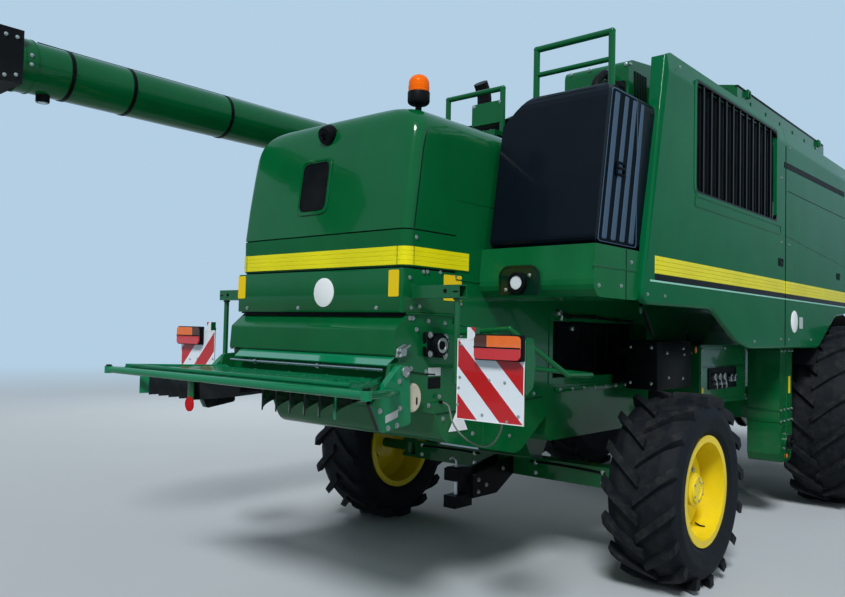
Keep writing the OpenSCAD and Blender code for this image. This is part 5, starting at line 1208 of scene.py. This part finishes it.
for k, x in enumerate((-480, -440, -400, -360, -320)):
    louvre = cut_sheet(rect(x, 3330, x + 22, 3500), "y", -1288, -1297, edge=3)
    settle(louvre, "cleaner_louvre_%d" % k, black_plastic)
vent = cut_sheet(rect(-1270, 3290, -1080, 3420, 16), "x", -558, -572, edge=3, dish=(8, 8))
slats = [plate((-574, -1258, z), (-562, -1092, z + 8), 2) for z in range(3306, 3410, 18)]
settle(join([vent] + slats), "cleaner_vent", black_plastic)
pipe = tube([(-575, -1150, 3470), (-640, -1150, 3470), (-760, -1150, 3380), (-760, -1150, 3250)], 30, 90, 3)
settle(pipe, "intake_pipe", black_plastic)
for k, z in enumerate((3440, 3300)):
    band_piece = hoop((-760, -1150, z), "z", 31, 3, 14) if z < 3380 else hoop((-600, -1150, 3470), "x", 31, 3, 14)
    settle(band_piece, "intake_clamp_%d" % k, zinc)
rail_plate = cut_sheet(rect(-262, 3300, 30, 3470, 16), "x", -549, -556, 2)
settle(rail_plate, "rail_plate", green)
bolts("deck_bolts", [("-x", [(-562, y, z) for y, z in ((-1270, 3530), (-1180, 3545), (-850, 3540), (-850, 3400),
                                                       (-1000, 3545))]),
                     ("-y", [(-540, -1291, 3530), (-180, -1291, 3570), (-180, -1291, 3230)]),
                     ("-x", [(-557, y, 3452) for y in (-240, 8)])], 10)
tread = [plate((-1110, y, 3076), (-540, y + 8, 3080), 1) for y in range(-560, 1360, 60)]
settle(join(tread), "walkway_treads", zinc)
foot = [turned((-1050, y, 3213), "z", 40, 12, 3, sides=28, dish=(12, 3)) for y in (-1420, -880)]
settle(join(foot), "rail_feet", dark_steel)

# Engine under its deck: belts, pulleys and exhaust

pulleys = []
for x, z, r in ((-150, 2800, 190), (250, 3010, 120), (520, 2720, 90)):
    pulleys.append(turned((x, -450, z), "-y", r, 60, 8, sides=48, dish=(24, 30)))
settle(join(pulleys), "engine_pulleys", dark_steel)
belt = tube([(-150, -486, 2990), (250, -486, 3130), (370, -486, 3010), (590, -486, 2690), (500, -486, 2632),
             (-150, -486, 2610), (-338, -486, 2800), (-270, -486, 2950), (-150, -486, 2990)], 10, 90, 1)
settle(belt, "engine_belt", spout_rubber)
stack = tube([(-100, 250, 3280), (-100, 250, 3700), (-160, 250, 3790)], 62, 80, 3)
shield_pipe = turned((-100, 250, 3300), "z", 84, 260, 8, sides=40, dish=(16, 200))
settle(join([stack, shield_pipe]), "exhaust_pipe", dark_steel)
rocker = plate((-380, -300, 3296), (760, 300, 3380), 24)
settle(rocker, "engine_cover", dark_steel)
bolts("engine_bolts", [("z", [(x, y, 3380) for x in (-300, -50, 200, 450, 680) for y in (-260, 260)])], 12)

# Radiator: round screen with spokes, seen through the grille

rings = [hoop((500, -1492, 3060), "y", r, 4, 8) for r in (90, 160, 230, 300, 370)]
spokes = [tube([(500 + 62 * math.cos(a), -1494, 3060 + 62 * math.sin(a)),
                (500 + 392 * math.cos(a), -1494, 3060 + 392 * math.sin(a))], 5, facets=1)
          for a in [k * math.pi / 8 for k in range(16)]]
settle(join(rings + spokes), "radiator_screen", zinc)
arm = plate((90, -1500, 3052), (910, -1490, 3068), 3)
settle(arm, "radiator_wiper", dark_steel)

# Grain tank: pressed ribs, cover edges and the open flaps' rubber seals

for side, name, way in SIDES:
    for k, x in enumerate((1500, 1900, 2300, 2700, 3100, 3500)):
        rib = cut_sheet(rect(x, 3640, x + 60, 3730), "y", side * 1399, side * 1408, 4)
        settle(rib, "tank_rib_%s_%d" % (name, k), green)
    hem = plate((1190, side * 1372, 3784), (3820, side * 1402, 3808), 5)
    settle(hem, "cover_hem_" + name, black_plastic, "cover_" + name)
    ridge = plate((1196, side * 4, 3966), (3814, side * 34, 3974), 2)
    settle(ridge, "cover_seal_" + name, spout_rubber, "cover_" + name)
    for k, x in enumerate((1600, 2100, 2900, 3400)):
        stay = cut_sheet([(side * 1340, 3822), (side * 640, 3966), (side * 640, 3973), (side * 1340, 3830)], "x",
                         x, x + 40, edge=2)
        settle(stay, "cover_rib_%s_%d" % (name, k), green, "cover_" + name)
    handle = tube([(2440, side * 1250, 3845), (2440, side * 1250, 3885), (2570, side * 1250, 3885),
                   (2570, side * 1250, 3845)], 7, 20)
    settle(handle, "cover_handle_" + name, black_plastic, "cover_" + name)
window_piece = frame_shape(rect(-330, 3050, 330, 3560, 50), rect(-290, 3090, 290, 3520, 36), "x", 3830, 3838)
settle(window_piece, "tank_window_frame", spout_rubber)
pane = cut_sheet(rect(-300, 3080, 300, 3530, 36), "x", 3829, 3833, 1)
settle(pane, "tank_window", clear_lens)
unload = []
for k in range(14):
    x = 1300 + k * 180
    unload.append(hoop((x, 0, 2610), "x", 92, 7, 10))
shaft = tube([(1215, 0, 2610), (3795, 0, 2610)], 36, 10, 3)
settle(join(unload + [shaft]), "tank_cross_auger", bare_steel)

# Cab: roof cap, lamps, wipers, door handle, mirrors' glass, step treads

lid = cut_sheet(rect(4120, -560, 5300, 560, 120), "z", 3848, 3860, edge=5, dish=(30, 5))
settle(lid, "roof_panel", green)
for k, y in enumerate((-700, -330, 330, 700)):
    case = frame_shape(rect(y - 84, 3681, y + 84, 3799, 24), rect(y - 70, 3695, y + 70, 3785, 16), "x", 5658, 5706)
    settle(case, "roof_lamp_case_%d" % k, black_plastic)
    cone = turned((5694, y, 3740), "x", 34, 8, 3, sides=24, dish=(6, 5))
    settle(cone, "roof_lamp_bulb_%d" % k, clear_lens)
for side, name, way in SIDES:
    glass_piece = cut_sheet(rect(side * 1110, 2962, side * 1310, 3496, 40), "x", 5543, 5548, edge=1)
    settle(glass_piece, "mirror_glass_" + name, mirror_face)
line_piece = frame_shape(rect(4085, 2412, 5375, 3556, 60), rect(4105, 2432, 5355, 3536, 46), "y", -948, -955)
settle(line_piece, "side_window_seal", spout_rubber)
blade_arm = tube([(5628, -260, 2140), (5640, -210, 2400), (5652, -160, 2680)], 8, 30)
blade = tube([(5648, -190, 2480), (5658, -160, 2960)], 6, 30)
settle(join([blade_arm, blade]), "front_wiper", black_plastic)
seal = frame_shape(rect(4311, 2412, 5139, 3488, 50), rect(4333, 2434, 5117, 3466, 36), "y", 943, 951)
settle(seal, "door_window_seal", spout_rubber, "door")
pane = cut_sheet(rect(4322, 2424, 5128, 3476, 40), "y", 915, 921, 1)
settle(pane, "door_glass", glass, "door")
pull = tube([(5110, 944, 2330), (5110, 990, 2330), (5110, 990, 2180), (5110, 944, 2180)], 9, 20)
cup = cut_sheet(rect(5060, 2150, 5160, 2360, 24), "y", 943, 950, 2, dish=(9, 4))
settle(join([pull, cup]), "door_handle", black_plastic, "door")
rear_seal = frame_shape(rect(-832, 2888, 832, 3562, 60), rect(-810, 2910, 810, 3540, 44), "x", 3954, 3962)
settle(rear_seal, "rear_window_seal", spout_rubber)
cushion = swollen((4500, -232, 2392), (4950, 232, 2486), 40)
backrest = swollen((4396, -226, 2560), (4500, 226, 3080), 40)
headrest = swollen((4376, -130, 3086), (4440, 130, 3150), 26)
for pad, name, turn in ((cushion, "seat_cushion", 0), (backrest, "seat_backrest", -8), (headrest, "seat_headrest", -8)):
    settle(tilt(pad, (4450, 0, 2560), "Y", turn), name, seat_cloth)
    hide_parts("cab_interior")
pedestal = plate((4560, -170, 2011), (4880, 170, 2330), 30)
frame_pan = plate((4490, -240, 2330), (4960, 240, 2392), 24)
spine = cut_sheet(round_corners([(4470, 2340), (4520, 2340), (4420, 3080), (4376, 3080)], 20), "y", -150, 150, 6)
rests = []
for side in (1, -1):
    rests.append(plate((4520, side * 250, 2560), (4860, side * 310, 2610), 18))
    rests.append(plate((4500, side * 262, 2360), (4560, side * 298, 2580), 10))
seat_frame = join([pedestal, frame_pan, spine] + rests)
settle(seat_frame, "seat_frame", black_plastic)
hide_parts("cab_interior")
column = join([tube([(5140, 0, 2012), (5110, 0, 2200), (5005, 0, 2720)], 42, 120, 3),
               turned((5140, 0, 2010.3), "z", 90, 30, 8, sides=32, dish=(20, 6))])
only(None)
bpy.ops.mesh.primitive_torus_add(major_radius=0.19, minor_radius=0.015, major_segments=48, minor_segments=12,
                                 location=(0, 0, 0))
hand_ring = bpy.context.object
hand_ring.matrix_world = Matrix.Translation(at(4992, 0, 2760)) @ Matrix.Rotation(math.radians(-11), 4, "Y")
arms = [tube([(4992, 0, 2748), (4992 + 186 * math.cos(a), 186 * math.sin(a), 2760 + 36 * math.cos(a))], 11)
        for a in (0.4, 2.5, 4.6)]
steering = join([column, hand_ring] + arms)
settle(steering, "steering_column", black_plastic)
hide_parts("cab_interior")
console = plate((4600, -520, 2011), (5060, -330, 2560), 34)
screen = plate((5080, -560, 2620), (5110, -330, 2800), 10)
post = tube([(5060, -440, 2480), (5095, -440, 2640)], 14)
settle(join([console, screen, post]), "side_console", black_plastic)
treads = []
for i in range(5):
    x = 5420 - 270 + i * 32
    for k in range(3):
        treads.append(plate((x + 20 + 50 * k, 1210, 465 + i * 340), (x + 34 + 50 * k, 1695, 470 + i * 340), 1.5))
settle(join(treads), "ladder_treads", zinc)
grid = [plate((4440, y, 1939), (5400, y + 8, 1943), 1) for y in range(980, 1770, 50)]
settle(join(grid), "platform_treads", zinc)
bolts("platform_bolts", [("z", [(x, y, 1940) for x in (4460, 4900, 5380) for y in (990, 1750)])], 9)

# Feeder house: chain window, hooks and face bolts

for side, name, way in SIDES:
    door = cut_sheet(round_corners([(4560, 1180), (5200, 1000), (5260, 1300), (4620, 1500)], 60), "y",
                     side * 699, side * 708, edge=3, dish=(14, 4))
    settle(door, "feeder_door_" + name, green, "feeder")
    chain_cover = cut_sheet(round_corners([(4700, 1520), (5700, 1240), (5740, 1120), (5660, 1060), (4660, 1390)], 60),
                            "y", side * 700, side * 742, edge=8, dish=(24, 4))
    settle(chain_cover, "feeder_side_cover_" + name, black_plastic, "feeder")
    hook = cut_sheet(rect(6092, 1180, 6148, 1279, 12), "y", side * 759.5, side * 748, edge=3, dish=(8, 3))
    settle(hook, "face_hook_" + name, dark_steel, "feeder")
    bolts("feeder_bolts_" + name, [(way, [(x, side * 700, z) for x, z in (
        (4640, 1200), (5180, 1030), (5240, 1280), (4680, 1460), (5900, 700), (5900, 1180), (5500, 860))])], 10,
        body="feeder")
bolts("face_bolts", [("-x", [(6080, y, z) for y in (-730, 730) for z in (600, 800, 1000, 1200)])], 11, body="feeder")
chain_bars = [tube([(6050, -640, z), (6050, 640, z)], 14, facets=2) for z in (700, 1000)]
settle(join(chain_bars), "feeder_chain_bars", dark_steel, "feeder")

# Rear axle, hitch and the lines along it

hitch_plate = plate((-752, -56, 682), (-600, 56, 696), 3)
settle(hitch_plate, "hitch_top_plate", dark_steel)
pin = turned((-700, 0, 402), "z", 15, 300, 2, sides=24)
grip = tube([(-700, 0, 700), (-700, 0, 744), (-700, 34, 764), (-700, 60, 744)], 8, 14)
settle(join([pin, grip]), "hitch_pin", zinc)
bolts("hitch_bolts", [(way, [(x, y, z) for x, z in ((-540, 500), (-540, 590), (-440, 540), (-220, 640))])
                      for way, y in (("-y", -90), ("y", 90))], 12)
for side, name, way in SIDES:
    cover = turned((0, side * 1080, 730), "z", 60, 14, 4, sides=32, dish=(16, 5))
    settle(cover, "kingpin_cap_" + name, green)
    bolts("axle_bolts_" + name, [("-x", [(-75, side * y, z) for y in (300, 880) for z in (615, 695)]),
                                 (way, [(3840 + 150 * math.sin(a), side * 1180, 925 + 150 * math.cos(a))
                                        for a in [k * math.pi / 4 for k in range(8)]])], 13)
    pipe = tube([(-78, side * 250, 700), (-84, side * 460, 704), (-84, side * 700, 700), (-78, side * 900, 690)],
                9, 60)
    settle(pipe, "axle_pipe_" + name, black_plastic)
    guard_bolts = [("-x", [(-1860, side * y, z) for y in (120, 420, 660) for z in (1330, 1560)]),
                   (way, [(x, side * 750, z) for x, z in ((-1790, 1200), (-1500, 1090), (-1100, 1040), (-1780, 1560),
                                                          (-1640, 1690), (-1000, 1500), (-820, 1300))])]
    bolts("shoe_bolts_" + name, guard_bolts, 10)
    seam = cut_sheet([(-1850, 1226), (-720, 1270), (-720, 1278), (-1850, 1234)], "y", side * 749, side * 757, 2)
    settle(seam, "shoe_seam_" + name, green_painted_seam_shade)
    seam = cut_sheet(rect(-1400, 1000, -1392, 1500), "y", side * 749, side * 757, 2)
    settle(seam, "shoe_rib_" + name, green)
    tri = cut_sheet([(-1742, 1120), (-1560, 1120), (-1651, 1268)], "y", side * 756, side * 759, 0.5)
    settle(tri, "blank_triangle_" + name, white_sheet)

# Stage and light

only(None)
bpy.ops.mesh.primitive_plane_add(size=160, location=(0, 0, -0.001))
floor = bpy.context.object
floor.name = "floor"
ground, tree, shader, place, axes = start_finish("plain pale floor", {"Roughness": 0.9, "Specular IOR Level": 0.1})
tone = add(tree, "TexNoise", {"Scale": 0.8, "Detail": 3.0}, {"Vector": place}).outputs["Fac"]
stone = add(tree, "Mix", {"data_type": "RGBA", 6: linear("#BCC4C9"), 7: linear("#B6BEC4")}, {0: tone}).outputs[2]
tree.links.new(stone, shader.inputs["Base Color"])
# Away from the machine the floor turns into the backdrop's own colour, so no horizon shows
away = add(tree, "VectorMath", {"operation": "LENGTH"}, {0: place}).outputs["Value"]
fade = add(tree, "MapRange", {"From Min": 9.0, "From Max": 30.0, "interpolation_type": "SMOOTHSTEP"},
           {"Value": away}).outputs[0]
glow = add(tree, "Emission", {"Color": linear(PALE), "Strength": 1.0})
joined = add(tree, "MixShader", links={0: fade, 1: shader.outputs[0], 2: glow.outputs[0]})
tree.links.new(joined.outputs[0], tree.nodes["Material Output"].inputs[0])
floor.data.materials.append(ground)

world = bpy.data.worlds.new("studio")
bpy.context.scene.world = world
world.use_nodes = True
tree = world.node_tree
tree.nodes.clear()
soft = add(tree, "Background", {"Color": linear("#D6E2EA"), "Strength": 0.24})
# Reflections of the backdrop darken towards the ground, as the foot of a studio sweep does
rays = add(tree, "LightPath").outputs
level = add(tree, "SeparateXYZ", links={"Vector": add(tree, "TexCoord").outputs["Generated"]}).outputs[2]
shade = add(tree, "MapRange", {"From Min": 0.0, "From Max": 0.22, "To Min": 0.7, "To Max": 0.0},
            {"Value": level}).outputs[0]
shade = add(tree, "Math", {"operation": "MULTIPLY"}, {0: shade, 1: rays["Is Glossy Ray"]}).outputs[0]
pale = add(tree, "Background", {"Color": linear(PALE)}, {
    "Strength": add(tree, "Math", {"operation": "SUBTRACT", 0: 1.0}, {1: shade}).outputs[0]})
seen = add(tree, "Math", {"operation": "ADD"}, {0: rays["Is Camera Ray"], 1: rays["Is Glossy Ray"]}).outputs[0]
seen = add(tree, "Math", {"operation": "ADD", "use_clamp": True}, {0: seen, 1: rays["Is Transmission Ray"]}).outputs[0]
mix = add(tree, "MixShader", links={0: seen, 1: soft.outputs[0], 2: pale.outputs[0]})
add(tree, "OutputWorld", links={"Surface": mix.outputs[0]})


def lamp(name, kind, energy, place, aim, size):
    """Lamp that aims at a point. Its size is the sun's angle in degrees, or the panel's side in metres."""
    data = bpy.data.lights.new(name, kind)
    data.energy = energy
    obj = bpy.data.objects.new(name, data)
    bpy.context.scene.collection.objects.link(obj)
    obj.location = place
    obj.rotation_euler = (Vector(aim) - Vector(place)).to_track_quat("-Z", "Y").to_euler()
    obj.visible_glossy = kind == "SUN"
    if kind == "SUN":
        data.angle = math.radians(size)
    else:
        data.size = size


lamp("key", "SUN", 2.7, (-9, -5, 11), (0, 0, 1), 14)
lamp("fill", "AREA", 220, (-3, -11, 5), (0.5, 0, 1.8), 6)
lamp("far_side", "AREA", 300, (5, 11, 7), (0.5, 0, 1.8), 6)

view = bpy.context.scene.view_settings
view.view_transform = "Standard"

bpy.data.objects.remove(bolt_model)
